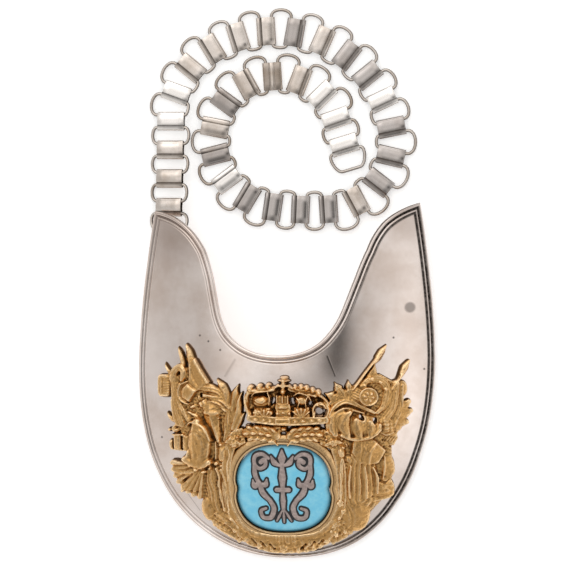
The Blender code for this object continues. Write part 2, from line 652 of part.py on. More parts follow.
def frame_ring():
    section = ((0.0, PIECE_GAP), (0.4, FRAME_RISE), (1.9, 2.3), (FRAME_WIDTH, 1.5), (FRAME_WIDTH, PIECE_GAP))
    return band(medallion_edge, section)


def frame_seat():
    """The frame's footprint with its gap, to cut out of the trophies."""
    out = FRAME_WIDTH + PIECE_GAP
    return band(medallion_edge, ((0.5, -2.0), (0.5, 12.0), (out, 12.0), (out, -2.0)))


def crown_parts():
    pearls = tuple(Boss(at=place, size=(PEARL, PEARL), rise=6.4, sides=6) for place in CROWN_PEARLS)
    return CROWN_PARTS + pearls


def skirt_pleats(pivot, first, last, inner, outer, pleats, rise):
    """Strips that widen as they fan out from the pivot, one beside the next."""
    step = math.radians(last - first) / pleats
    made = []
    for i in range(pleats):
        angle = math.radians(first) + step * (i + 0.5)
        ray = Vector((math.cos(angle), math.sin(angle)))
        places = [tuple(Vector(pivot) + ray * r) for r in (inner, (inner + outer) / 2, outer)]
        widths = tuple(2.1 * r * math.tan(step / 2) for r in (inner, (inner + outer) / 2, outer))
        made.append(Strip(path=tuple(places), widths=widths, rise=rise, steps=2))
    return tuple(made)


def lighten(obj, keep):
    """Drops the least needed facets until this share of them is left."""
    modifier = obj.modifiers.new("lighten", "DECIMATE")
    modifier.ratio = keep
    graph = bpy.context.evaluated_depsgraph_get()
    obj.data = bpy.data.meshes.new_from_object(obj.evaluated_get(graph))
    obj.modifiers.clear()
    return obj


def build_relief(solids, seats, keep=1.0):
    """One casting: its parts joined, the seats of its neighbours cut away, and lightened."""
    body = combine(solids[0], solids[1:], "UNION")
    return lighten(drop_crumbs(combine(body, list(seats), "DIFFERENCE")), keep)


def build_trophy(parts, rows):
    seats = [frame_seat(), *keep_out(FRAME_EXTRAS), *keep_out(crown_parts())]
    return build_relief([ground(rows), *map(relief, parts)], seats, keep=TROPHY_KEEP)


def plaque_lift(x, y):
    """Rise of the enamel over the plate: highest in the middle, least at its edge."""
    across = abs(x - MEDALLION_AT[0]) / MEDALLION_HALF[0]
    along = abs(y - MEDALLION_AT[1]) / MEDALLION_HALF[1]
    return ENAMEL_RISE + ENAMEL_DOME * (1 - min(1.0, across**2 + along**2))


def build_enamel():
    shape = bmesh.new()
    edge = medallion_edge(-PIECE_GAP)
    centre = Vector(MEDALLION_AT)
    half = [tuple(centre.lerp(Vector(place), 0.55)) for place in edge]
    loops = []
    for plan, top in ((half, False), (edge, False), (edge, True), (half, True)):
        loops.append([
            shape.verts.new(on_plate(x, y, plaque_lift(x, y) if top else PIECE_GAP)) for x, y in plan
        ])
    bridge(shape, loops)
    for loop, rise in ((loops[0], PIECE_GAP), (loops[-1], ENAMEL_RISE + ENAMEL_DOME)):
        fan(shape, loop, on_plate(centre.x, centre.y, rise))
    return object_from(shape, "enamel")


def ornament_parts():
    """A laurel spray at each side and a palmette between them, all rising from one tie."""
    cx, cy = MEDALLION_AT
    thin = ORNAMENT_RISE + PIECE_GAP
    tie = (cx, cy - 15.5)
    parts = [Boss(at=tie, size=(5.0, 3.6), rise=thin + 0.2, sides=8)]
    for side in (-1, 1):
        stem = ((cx, cy - 15.5), (cx + side * 14.0, cy - 4.5), (cx + side * 9.5, cy + 13.0))
        parts.append(Strip(path=stem, widths=(1.6, 1.4, 0.9), rise=thin, steps=6))
        start, middle, end = (Vector(place) for place in stem)
        pull = middle * 2 - (start + end) / 2
        for i in range(5):
            t = 0.2 + 0.19 * i
            root = start * (1 - t) ** 2 + pull * 2 * t * (1 - t) + end * t**2
            along = ((pull - start) * (1 - t) + (end - pull) * t).normalized()
            for spread in (-38, 38):
                ray = Matrix.Rotation(math.radians(spread), 2) @ along
                leaf = tuple(tuple(root + ray * reach) for reach in (0.2, 3.0, 6.2))
                parts.append(Strip(path=leaf, widths=(0.9, 2.5, 0.5), rise=thin, steps=2))
    heart = Vector((cx, cy - 6.0))
    parts.append(Strip(path=(tie, (cx, cy - 11.0), tuple(heart)), widths=(1.6, 1.4, 1.8), rise=thin, steps=2))
    for angle, length in ((90, 14.0), (62, 11.0), (118, 11.0), (32, 7.5), (148, 7.5)):
        ray = Vector((math.cos(math.radians(angle)), math.sin(math.radians(angle))))
        petal = tuple(tuple(heart + ray * length * share) for share in (0.0, 0.6, 1.0))
        parts.append(Strip(path=petal, widths=(1.2, 3.2, 0.7), rise=thin, steps=2))
    return parts


def build_ornament():
    solids = [relief(replace(part, base=-0.4), lift=plaque_lift) for part in ornament_parts()]
    reach = Vector((22.0, 22.0))
    centre = Vector(MEDALLION_AT)
    return build_relief(solids, [bed(centre - reach, centre + reach, plaque_lift)], keep=FRAME_KEEP)


# ---- the chain ----


def tube(shape, path, radius, up, sides=5, closed=False):
    """A wire along the path, which lies in the plane that up is square to."""
    count = len(path)
    loops = []
    for i, place in enumerate(path):
        before = path[i - 1] if closed or i else place
        after = path[(i + 1) % count] if closed or i < count - 1 else place
        along = (after - before).normalized()
        side = up.cross(along)
        loop = []
        for k in range(sides):
            angle = 2 * math.pi * (k + 0.5) / sides
            loop.append(shape.verts.new(place + (side * math.cos(angle) + up * math.sin(angle)) * radius))
        loops.append(loop)
    bridge(shape, loops + loops[:1] if closed else loops)
    if not closed:
        shape.faces.new(loops[0])
        shape.faces.new(loops[-1])


def ring_path(near, far, far_side=CLIP_SPAN, slide=RING_SLIDE, arc_steps=3):
    """The wire's centre line round one ring: straight in both clips, rounded between their ends.
    In a bend the ring slides outwards, so that it is wide outside and narrow inside."""
    straight = OUTER_PITCH - 2 * WIRE_SEAT
    sides = []
    for pose, seat, run in ((near, WIRE_SEAT, CLIP_SPAN), (far, -WIRE_SEAT, far_side)):
        sides.append([pose @ Vector((seat, end * (run / 2 + 0.1), 0)) for end in (1, -1)])
    points = []
    for end, first, last in ((0, 0, 1), (1, 1, 0)):
        a, d = sides[first][end], sides[last][end]
        bulge = max(RING_LEAST, RING_HANDLE + slide * ((d - a).length - straight))
        outward = [pose.col[1].xyz * (1 - 2 * end) for pose in (near, far)]
        b, c = a + outward[first] * bulge, d + outward[last] * bulge
        points += [bezier((a, b, c, d), i / arc_steps) for i in range(arc_steps + 1)]
    return points


def clip_poses():
    """Where each clip lies: its middle, with X along the chain and Z up out of the clip."""
    heading = CHAIN_HEADING
    place = Vector(CHAIN_START)
    steps = [(stretch.turn, stretch.pitch) for stretch in CHAIN_LAY for _ in range(stretch.links)]
    poses = []
    for i, (turn, pitch) in enumerate([*steps, (0.0, 0.0)]):
        lean = math.radians(CLIP_LIFT[i]) if i < len(CLIP_LIFT) else 0.0
        height = CLIP_SPAN / 2 * math.sin(lean) + CLIP_DEPTH / 2 * math.cos(lean)
        where = Matrix.Translation((*place, height))
        pose = where @ Matrix.Rotation(math.radians(heading), 4, "Z") @ Matrix.Rotation(-lean, 4, "X")
        poses.append(pose)
        ahead = math.radians(heading + turn / 2)
        place = place + Vector((math.cos(ahead), math.sin(ahead))) * pitch
        heading += turn
    return poses


def prism(section, span):
    """A solid with this section across X and Z, and this span along Y."""
    shape = bmesh.new()
    loops = [[shape.verts.new(Vector((x, y, z)) * MM) for x, z in section] for y in (-span / 2, span / 2)]
    bridge(shape, loops)
    for loop in loops:
        shape.faces.new(loop)
    return object_from(shape, "prism")


def clip_solid():
    """A flattened sleeve. The half towards the horn is closed round the ring that it carries."""
    end, half = CLIP_LENGTH / 2, CLIP_DEPTH / 2
    flat, cheek = end - 1.1, half - 0.95
    outer = ((-end, -cheek), (-flat, -half), (flat, -half), (end, -cheek))
    outer += tuple((x, -z) for x, z in reversed(outer))
    end, half, flat, cheek = end - CLIP_WALL, half - CLIP_WALL, flat - 0.2, cheek - 0.1
    hollow = ((0.0, -half), (flat, -half), (end, -cheek), (end, cheek), (flat, half), (0.0, half))
    return combine(prism(outer, CLIP_SPAN), [prism(hollow, CLIP_SPAN + 2)], "DIFFERENCE")


def ring_solid(near, far, seen_from, **how):
    """The ring between two clips, in the frame of one of them and in metres."""
    inward = seen_from.inverted()
    path = [inward @ point * MM for point in ring_path(near, far, **how)]
    up = inward.to_3x3() @ (near.col[2].xyz + far.col[2].xyz).normalized()
    shape = bmesh.new()
    tube(shape, path, WIRE / 2 * MM, up, closed=True)
    return object_from(shape, "ring")


def anchor_pose(first_clip):
    """Where a clip before the first one would be, if the chain went on towards the staple."""
    hang = on_plate(*STAPLE_AT, -(PLATE_THICKNESS + PIECE_GAP + STAPLE_HANG)) / MM
    towards = (hang - first_clip.translation).normalized()
    turn = Matrix.Rotation(math.radians(ANCHOR_LEAN), 4, towards)
    pose = turn @ first_clip
    pose.translation = hang + towards * WIRE_SEAT
    return pose


def place_of(pose):
    """The pose as an object's matrix, with its place in metres."""
    placed = pose.copy()
    placed.translation = pose.translation * MM
    return placed


def build_chain(look):
    poses = clip_poses()
    before = anchor_pose(poses[0])
    for i, pose in enumerate(poses):
        link = combine(clip_solid(), [ring_solid(before, pose, pose)], "UNION")
        link.matrix_world = place_of(pose)
        finish(link, f"chain_link_{i + 1:02d}", look)
        before = pose
    last = poses[-1]
    beyond = last @ Matrix.Translation((END_REACH + WIRE_SEAT, 0, 0))
    end_ring = ring_solid(last, beyond, last, far_side=FREE_SIDE, slide=0.0)
    end_ring.matrix_world = place_of(last)
    finish(end_ring, "chain_end_ring", look)


# ---- what fastens the chain ----

def under_plate(at, path, wire):
    """A bent wire below the plate: its path gives places along Y and depths below the back."""
    root = on_plate(*at, -(PLATE_THICKNESS + PIECE_GAP))
    down = -face_normal(*at)
    across = down.cross(Vector((0, 1, 0))).normalized()
    along = across.cross(down)
    shape = bmesh.new()
    places = [root + (along * a + down * depth) * MM for a, depth in path]
    tube(shape, places, wire / 2 * MM, across)
    return object_from(shape, "wire")


def build_staple():
    foot = STAPLE_WIRE / 2 + 0.1
    low = STAPLE_HANG + (WIRE + STAPLE_WIRE) / 2 + 0.35
    half = ((-5.2, foot), (-2.6, foot), (-1.9, 1.6), (-1.9, low - 1.2), (-0.9, low))
    return under_plate(STAPLE_AT, half + tuple((-a, depth) for a, depth in reversed(half)), STAPLE_WIRE)


def build_hook():
    foot = HOOK_WIRE / 2 + 0.1
    path = (
        (-7.0, foot), (0.5, foot), (3.4, 1.9), (4.6, 4.5), (3.4, 7.1), (0.5, 8.4), (-3.6, 8.4), (-5.6, 7.7)
    )
    return under_plate(HOOK_AT, path, HOOK_WIRE)


def hold_at_origin():
    """Hangs every piece on one empty, so that the origin lies below the whole object's middle."""
    pieces = list(bpy.data.objects)
    holder = bpy.data.objects.new("gorget", None)
    holder.location = (-MIDDLE_AT[0] * MM, -MIDDLE_AT[1] * MM, 0.0)
    bpy.context.scene.collection.objects.link(holder)
    for piece in pieces:
        piece.parent = holder


def main():
    clear_scene()
    silver = material("nickel_silver", (0.78, 0.75, 0.71), 0.28, 1.0)
    chain_silver = material("chain_silver", (0.74, 0.71, 0.66), 0.36, 1.0)
    gilt = material("gilt_brass", (0.62, 0.43, 0.19), 0.38, 1.0)
    blue = material("sky_enamel", (0.2, 0.6, 0.85), 0.12, 0.0)
    grey = material("grey_enamel", (0.3, 0.24, 0.23), 0.35, 0.2)

    finish(build_plate(), "gorget_plate", silver)
    finish(build_relief([relief(part) for part in crown_parts()], [], keep=CROWN_KEEP), "crown", gilt)
    frame = [frame_ring(), *map(relief, FRAME_EXTRAS)]
    finish(build_relief(frame, keep_out(crown_parts())), "cartouche_frame", gilt)
    skirt = skirt_pleats(**TROPHY_LEFT_SKIRT)
    finish(build_trophy(TROPHY_LEFT + skirt, TROPHY_LEFT_GROUND), "trophy_left", gilt)
    finish(build_trophy(TROPHY_RIGHT, TROPHY_RIGHT_GROUND), "trophy_right", gilt)
    finish(build_enamel(), "enamel_medallion", blue)
    finish(build_ornament(), "medallion_ornament", grey)
    build_chain(chain_silver)
    finish(build_staple(), "chain_staple", chain_silver)
    finish(build_hook(), "chain_hook", silver)
    hold_at_origin()


main()
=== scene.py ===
"""A parade gorget: a nickel silver plate with gilt relief, an enamel medallion and a chain of clips.

Shapes are worked out in millimetres from the middle of the plate's widest place, with the
horns towards +Y, and are moved to the model's frame, in metres, as their meshes are made.
"""

import logging
import math
from dataclasses import dataclass, field
from enum import Enum
from typing import Callable, Iterable, Sequence

import bmesh
import bpy
import numpy as np
from mathutils import Matrix, Vector


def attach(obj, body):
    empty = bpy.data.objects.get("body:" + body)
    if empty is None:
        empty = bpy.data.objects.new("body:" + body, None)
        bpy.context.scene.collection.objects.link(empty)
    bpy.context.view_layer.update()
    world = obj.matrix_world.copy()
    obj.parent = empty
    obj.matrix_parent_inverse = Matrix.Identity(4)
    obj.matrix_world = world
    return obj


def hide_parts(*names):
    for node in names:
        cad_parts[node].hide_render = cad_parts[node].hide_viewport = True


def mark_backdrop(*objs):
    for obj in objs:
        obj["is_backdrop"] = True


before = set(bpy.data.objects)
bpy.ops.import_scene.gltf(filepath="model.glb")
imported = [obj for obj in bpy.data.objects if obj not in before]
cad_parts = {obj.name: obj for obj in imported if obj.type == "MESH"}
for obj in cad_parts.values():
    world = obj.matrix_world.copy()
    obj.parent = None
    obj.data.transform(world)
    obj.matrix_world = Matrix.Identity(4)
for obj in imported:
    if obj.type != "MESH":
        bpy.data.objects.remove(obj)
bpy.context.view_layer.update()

LOG = logging.getLogger("gorget")
Array = np.ndarray
Plan = tuple[float, float]

MM = 0.001
MIDDLE_AT = np.array([-0.3, 40.66, 0.0])  # of the whole object, in the plate's own millimetres
BODY = "root"
SUNK = -0.5  # rise of a casting's lower edge, just inside the plate
CUT_FLOOR = 0.6  # lowest rise that a groove leaves
FILLET = 0.9  # difference of rises below which two forms of a casting run together
SKIRT_SLOPE = 5.0  # how steeply a form falls outside its outline
THROUGH = -99.0  # rise of an element that pierces the casting
PLATE_THICKNESS = 1.2
PIECE_GAP = 0.35  # between two pieces that are fixed to each other
WELD = 0.004  # distance under which vertices at a crossing or a middle become one
LINE_STEPS = 40  # places along a ribbon's curve
MARGIN = 1.0  # round the place that an element can reach
VEIN = 0.35  # half width of a leaf's middle vein
RIB_PITCH = 1.7  # from one side vein of a leaf to the next
WANDER_REACH = 2.6  # length along a ribbon over which its strands wander


# ---------------------------------------------------------------- meshes


@dataclass
class Mesh:
    """Vertices in the plate's millimetres, faces, and a number per vertex for each named attribute."""

    places: Array
    faces: Array
    marks: dict[str, Array] = field(default_factory=dict)

    def joined(self, other: "Mesh") -> "Mesh":
        """Both meshes as one; a mark that only one of them has is 0 on the other."""
        count = len(self.places)
        marks = {}
        for name in {**self.marks, **other.marks}:
            first = self.marks.get(name, np.zeros(count))
            second = other.marks.get(name, np.zeros(len(other.places)))
            marks[name] = np.concatenate([first, second])
        places = np.concatenate([self.places, other.places])
        return Mesh(places, np.concatenate([self.faces, other.faces + count]), marks)


def grid_faces(rows: int, columns: int, ring: bool = False, tube: bool = False) -> Array:
    """Quads between vertices numbered row by row.

    Args:
        rows: How many rows of vertices there are.
        columns: How many vertices each row has.
        ring: Whether each row closes on itself.
        tube: Whether the last row is joined to the first.

    Returns:
        Four vertex numbers for each quad.
    """
    index = np.arange(rows * columns).reshape(rows, columns)
    if ring:
        index = np.hstack([index, index[:, :1]])
    if tube:
        index = np.vstack([index, index[:1]])
    corners = (index[:-1, :-1], index[:-1, 1:], index[1:, 1:], index[1:, :-1])
    return np.stack(corners, axis=-1).reshape(-1, 4)


def add_piece(
    name: str, mesh: Mesh, look: bpy.types.Material, nodes: Sequence[str], weld: float = 0.0
) -> bpy.types.Object:
    """Makes the mesh an object of the model.

    Args:
        name: Name of the piece.
        mesh: Its shape.
        look: Its material.
        nodes: CAD nodes that it stands for.
        weld: Distance in millimetres under which vertices become one, or 0 to leave them.

    Returns:
        The object, riding on the body, with its faces outwards.
    """
    data = bpy.data.meshes.new(name)
    data.from_pydata((mesh.places - MIDDLE_AT) * MM, [], mesh.faces)
    for mark, values in mesh.marks.items():
        data.attributes.new(mark, "FLOAT", "POINT").data.foreach_set("value", np.float32(values))
    if weld:
        shape = bmesh.new()
        shape.from_mesh(data)
        bmesh.ops.remove_doubles(shape, verts=shape.verts, dist=weld * MM)
        bmesh.ops.dissolve_degenerate(shape, edges=shape.edges, dist=weld * MM / 2)
        bmesh.ops.recalc_face_normals(shape, faces=shape.faces)
        shape.to_mesh(data)
        shape.free()
    data.shade_smooth()
    data.materials.append(look)
    piece = bpy.data.objects.new(name, data)
    bpy.context.scene.collection.objects.link(piece)
    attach(piece, BODY)
    if nodes:
        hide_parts(*nodes)
    triangles = sum(len(polygon.vertices) - 2 for polygon in data.polygons)
    LOG.info("%s: %d triangles", name, triangles)
    return piece


def bezier(handles: Sequence[Plan], t: Array) -> Array:
    """Places on the cubic curve through the first and last handle: each handle weighs by the
    cubic Bernstein share of t."""
    handles = np.array(handles, float)
    s = 1 - t
    weights = np.stack([s**3, 3 * t * s**2, 3 * t**2 * s, t**3], axis=-1)
    return weights @ handles


def evenly(places: Array, count: int) -> Array:
    """The same line with this many places on it, at equal steps of its length."""
    steps = np.linalg.norm(np.diff(places, axis=0), axis=1)
    run = np.concatenate([[0.0], np.cumsum(steps)])
    at = np.linspace(0.0, run[-1], count)
    return np.stack([np.interp(at, run, places[:, k]) for k in range(places.shape[1])], axis=-1)


def smooth_line(handles: Sequence[Plan], count: int) -> Array:
    """A curve through all the handles, each stretch a cubic whose slopes come from its
    neighbours (Catmull-Rom), at equal steps of its length."""
    p = np.array(handles, float)
    if len(p) == 2:
        return evenly(p, count)
    p = np.vstack([2 * p[0] - p[1], p, 2 * p[-1] - p[-2]])
    t = np.linspace(0, 1, 12, endpoint=False)[:, None]
    runs = []
    for a, b, c, d in zip(p, p[1:], p[2:], p[3:]):
        runs.append(b + 0.5 * t * (c - a + t * (2 * a - 5 * b + 4 * c - d + t * (3 * (b - c) + d - a))))
    return evenly(np.vstack([*runs, p[-2:-1]]), count)


# ---------------------------------------------------------------- the plate's form


@dataclass(frozen=True)
class PlateForm:
    """The plate's outline in plan and the height of its face."""

    half_width: float = 78.7
    lower_reach: float = 104.4
    outline_power: float = 2.25
    horn_reach: float = 83.0
    left_horn_short: float = 4.0
    horn_taper: float = 8.9
    taper_power: float = 1.6
    bow_axis: float = -0.6
    bow_radius: float = 125.0
    swell_radius: float = 215.0
    horn_drop: float = 2.6
    top: float = 30.54
    neck_bottom: tuple = ((0.0, 3.2), (18.0, 3.2), (27.8, 12.3), (32.2, 26.4))
    neck_rise: tuple = ((32.2, 26.4), (39.8, 51.0), (42.8, 74.5))
    # height y, then how far the edge lies to the right of the even shape
    outer_shift: tuple = (
        (-104.0, 1.2), (-87.0, -0.2), (-75.0, -1.0), (-50.0, -1.3), (0.0, -0.3), (83.0, 0.8)
    )
    neck_shift: tuple = ((15.0, -2.0), (44.0, 0.8), (58.0, 1.5), (73.0, 0.3), (83.0, 0.8))

    def height(self, x: Array, y: Array) -> Array:
        """Height over the table: the top less a circular bend across the chest, less a second
        bend towards the lower edge or a gentle parabola towards the horns."""
        across = self.bow_radius - np.sqrt(self.bow_radius**2 - (x - self.bow_axis) ** 2)
        lower = self.swell_radius - np.sqrt(self.swell_radius**2 - np.minimum(y, 0.0) ** 2)
        upper = self.horn_drop * (np.maximum(y, 0.0) / self.horn_reach) ** 2
        return self.top - across - lower - upper

    def normal(self, x: Array, y: Array) -> Array:
        """Outward direction of the face, square to the slopes of both bends."""
        slope_x = (self.bow_axis - x) / np.sqrt(self.bow_radius**2 - (x - self.bow_axis) ** 2)
        low = np.minimum(y, 0.0)
        slope_y = -low / np.sqrt(self.swell_radius**2 - low**2)
        slope_y = slope_y - 2 * self.horn_drop * np.maximum(y, 0.0) / self.horn_reach**2
        out = np.stack([-slope_x, -slope_y, np.ones_like(slope_x)], axis=-1)
        return out / np.linalg.norm(out, axis=-1, keepdims=True)

    def on(self, plan: Array, rise: Array | float) -> Array:
        """Places at this distance out from the face over plan places."""
        x, y = plan[..., 0], plan[..., 1]
        face = np.stack([x, y, self.height(x, y)], axis=-1)
        return face + self.normal(x, y) * np.asarray(rise)[..., None]

    def horn_tip(self, side: int) -> Plan:
        """Tip of the right horn (1) or of the left one (-1), as if it were on the right."""
        height = self.horn_reach - (self.left_horn_short if side < 0 else 0.0)
        return (self.half_width - self.horn_taper * (height / self.horn_reach) ** self.taper_power,
                height)

    def neck(self, count: int) -> Array:
        """The neck edge from the left tip to the right one."""
        halves = []
        for side in (-1, 1):
            t = np.linspace(0, 1, 300)
            half = np.vstack([
                bezier(self.neck_bottom, t), bezier((*self.neck_rise, self.horn_tip(side)), t)[1:]
            ])
            half[:, 0] *= side
            halves.append(half)
        line = np.vstack([halves[0][::-1], halves[1][1:]])
        line[:, 0] += np.interp(line[:, 1], *np.transpose(self.neck_shift))
        return evenly(line, count)

    def outer(self, count: int) -> Array:
        """The outer edge from the left tip round the lower edge to the right tip."""
        halves = []
        for side in (-1, 1):
            y = np.linspace(self.horn_tip(side)[1], 0.0, 300)
            x = self.half_width - self.horn_taper * (y / self.horn_reach) ** self.taper_power
            angle = np.linspace(0, math.pi / 2, 900)[1:]
            share = 2 / self.outline_power
            low_x = self.half_width * np.abs(np.cos(angle)) ** share
            low_y = -self.lower_reach * np.sin(angle) ** share
            half = np.column_stack([np.append(x, low_x), np.append(y, low_y)])
            half[:, 0] *= side
            halves.append(half)
        line = np.vstack([halves[0], halves[1][::-1][1:]])
        line[:, 0] += np.interp(line[:, 1], *np.transpose(self.outer_shift))
        return evenly(line, count)

    def inset_steps(self, line: Array, inward: int) -> Array:
        """At each place of an edge, the plan step that moves one unit in along the face: the
        edge's direction crossed with the face's normal."""
        along = np.gradient(self.on(line, 0.0), axis=0)
        along /= np.linalg.norm(along, axis=1, keepdims=True)
        step = np.cross(along, self.normal(line[:, 0], line[:, 1])) * inward
        return step[:, :2]


FORM = PlateForm()


# ---------------------------------------------------------------- shader expressions


class Signal:
    """An output socket in a material's graph, with the arithmetic that adds nodes to it."""

    def __init__(self, graph: "Graph", socket: bpy.types.NodeSocket) -> None:
        """Keeps the graph and the socket."""
        self.graph = graph
        self.socket = socket

    def _math(self, operation: str, *values: "Signal | float") -> "Signal":
        """A Math node on these values."""
        return self.graph.node("ShaderNodeMath", {"operation": operation}, dict(enumerate(values)))

    def __add__(self, other: "Signal | float") -> "Signal":
        """Sum."""
        return self._math("ADD", self, other)

    def __sub__(self, other: "Signal | float") -> "Signal":
        """Difference."""
        return self._math("SUBTRACT", self, other)

    def __mul__(self, other: "Signal | float") -> "Signal":
        """Product."""
        return self._math("MULTIPLY", self, other)

    __radd__ = __add__
    __rmul__ = __mul__

    def __pow__(self, other: float) -> "Signal":
        """Power."""
        return self._math("POWER", self, other)

    def largest(self, other: "Signal | float") -> "Signal":
        """The larger of the two."""
        return self._math("MAXIMUM", self, other)

    def clipped(self) -> "Signal":
        """The value kept from 0 to 1."""
        return self.graph.node("ShaderNodeClamp", {}, {"Value": self})

    def ramp(self, low: float, high: float, start: float = 0.0, end: float = 1.0) -> "Signal":
        """A smooth step: start below low, end above high."""
        settings = {"interpolation_type": "SMOOTHSTEP"}
        values = {"Value": self, "From Min": low, "From Max": high, "To Min": start, "To Max": end}
        return self.graph.node("ShaderNodeMapRange", settings, values)


class Graph:
    """A node tree and the means of adding nodes to it."""

    def __init__(self, tree: bpy.types.NodeTree) -> None:
        """Keeps the tree and empties it."""
        self.tree = tree
        tree.nodes.clear()

    def node(
        self, kind: str, settings: dict[str, object], values: dict[str | int, object],
        out: str | int = 0
    ) -> Signal:
        """Adds one node.

        Args:
            kind: Its type.
            settings: Its own properties, set first.
            values: Numbers, colours or Signals for its input sockets.
            out: Which output to give back.

        Returns:
            That output.
        """
        made = self.tree.nodes.new(kind)
        for name, value in settings.items():
            setattr(made, name, value)
        for name, value in values.items():
            if isinstance(value, Signal):
                self.tree.links.new(value.socket, made.inputs[name])
            else:
                made.inputs[name].default_value = value
        return Signal(self, made.outputs[out] if len(made.outputs) else None)

    def place(self) -> Signal:
        """Object coordinates, in metres."""
        return self.node("ShaderNodeTexCoord", {}, {}, "Object")

    def mark(self, name: str) -> Signal:
        """A number that the mesh holds at each vertex."""
        return self.node("ShaderNodeAttribute", {"attribute_name": name}, {}, "Fac")

    def noise(self, size: float, detail: float = 3.0, rough: float = 0.5,
              stretch: tuple = ()) -> Signal:
        """Noise from 0 to 1 whose patches are about this many millimetres wide."""
        at = self.place()
        if stretch:
            at = self.node("ShaderNodeVectorMath", {"operation": "MULTIPLY"}, {0: at, 1: stretch})
        values = {"Vector": at, "Scale": 1 / (size * MM), "Detail": detail, "Roughness": rough}
        return self.node("ShaderNodeTexNoise", {}, values, "Fac")

    def mix(self, share: Signal | float, first: object, second: object) -> Signal:
        """A colour between two colours."""
        first, second = (v if isinstance(v, Signal) else (*v, 1.0) for v in (first, second))
        values = {0: share, 6: first, 7: second}
        return self.node("ShaderNodeMix", {"data_type": "RGBA"}, values, 2)

    def dot(self, vector: Signal, other: Sequence[float]) -> Signal:
        """Dot product with a fixed vector."""
        values = {0: vector, 1: tuple(other)}
        return self.node("ShaderNodeVectorMath", {"operation": "DOT_PRODUCT"}, values, "Value")

    def away_from(self, at: Plan) -> Signal:
        """Distance in plan, in millimetres, from a place on the plate."""
        flat = self.node("ShaderNodeVectorMath", {"operation": "MULTIPLY"},
                         {0: self.place(), 1: (1, 1, 0)})
        spot = tuple((np.array([*at, 0.0]) - MIDDLE_AT * (1, 1, 0)) * MM)
        values = {0: flat, 1: spot}
        return self.node("ShaderNodeVectorMath", {"operation": "DISTANCE"}, values, "Value") * (1 / MM)

    def off_line(self, start: Plan, end: Plan) -> Signal:
        """Distance in plan, in millimetres, from a straight line on the plate: that from the
        nearest place on it, found by projecting onto its direction and clipping to its ends."""
        a = np.array([*start, 0.0]) - MIDDLE_AT * (1, 1, 0)
        run = np.array([*end, 0.0]) - np.array([*start, 0.0])
        length = float(np.linalg.norm(run))
        along = run / length
        away = self.node("ShaderNodeVectorMath", {"operation": "SUBTRACT"},
                         {0: self.place(), 1: tuple(a * MM)})
        t = self.dot(away, along) * (1 / MM)
        side = self.dot(away, (-along[1], along[0], 0.0)) * (1 / MM)
        past = (t - length).largest(0.0) + (t * -1.0).largest(0.0)
        return (side * side + past * past) ** 0.5

    def bump(self, height: Signal, depth: float, strength: float = 1.0) -> Signal:
        """A Normal from a height, which is this many millimetres deep from 0 to 1."""
        values = {"Strength": strength, "Distance": depth * MM, "Height": height}
        return self.node("ShaderNodeBump", {}, values, "Normal")

    def surface(self, **values: object) -> None:
        """The Principled shader with these inputs, joined to the output."""
        named = {name.replace("_", " "): value for name, value in values.items()}
        shader = self.node("ShaderNodeBsdfPrincipled", {}, named, "BSDF")
        self.node("ShaderNodeOutputMaterial", {}, {"Surface": shader})


@dataclass(frozen=True)
class Finish:
    """A material of the object: subclasses draw its graph."""

    name: str

    def draw(self, graph: Graph) -> None:
        """Adds this finish's nodes."""
        raise NotImplementedError

    def material(self) -> bpy.types.Material:
        """The finished material, made once."""
        found = bpy.data.materials.get(self.name)
        if found:
            return found
        made = bpy.data.materials.new(self.name)
        made.use_nodes = True
        self.draw(Graph(made.node_tree))
        return made


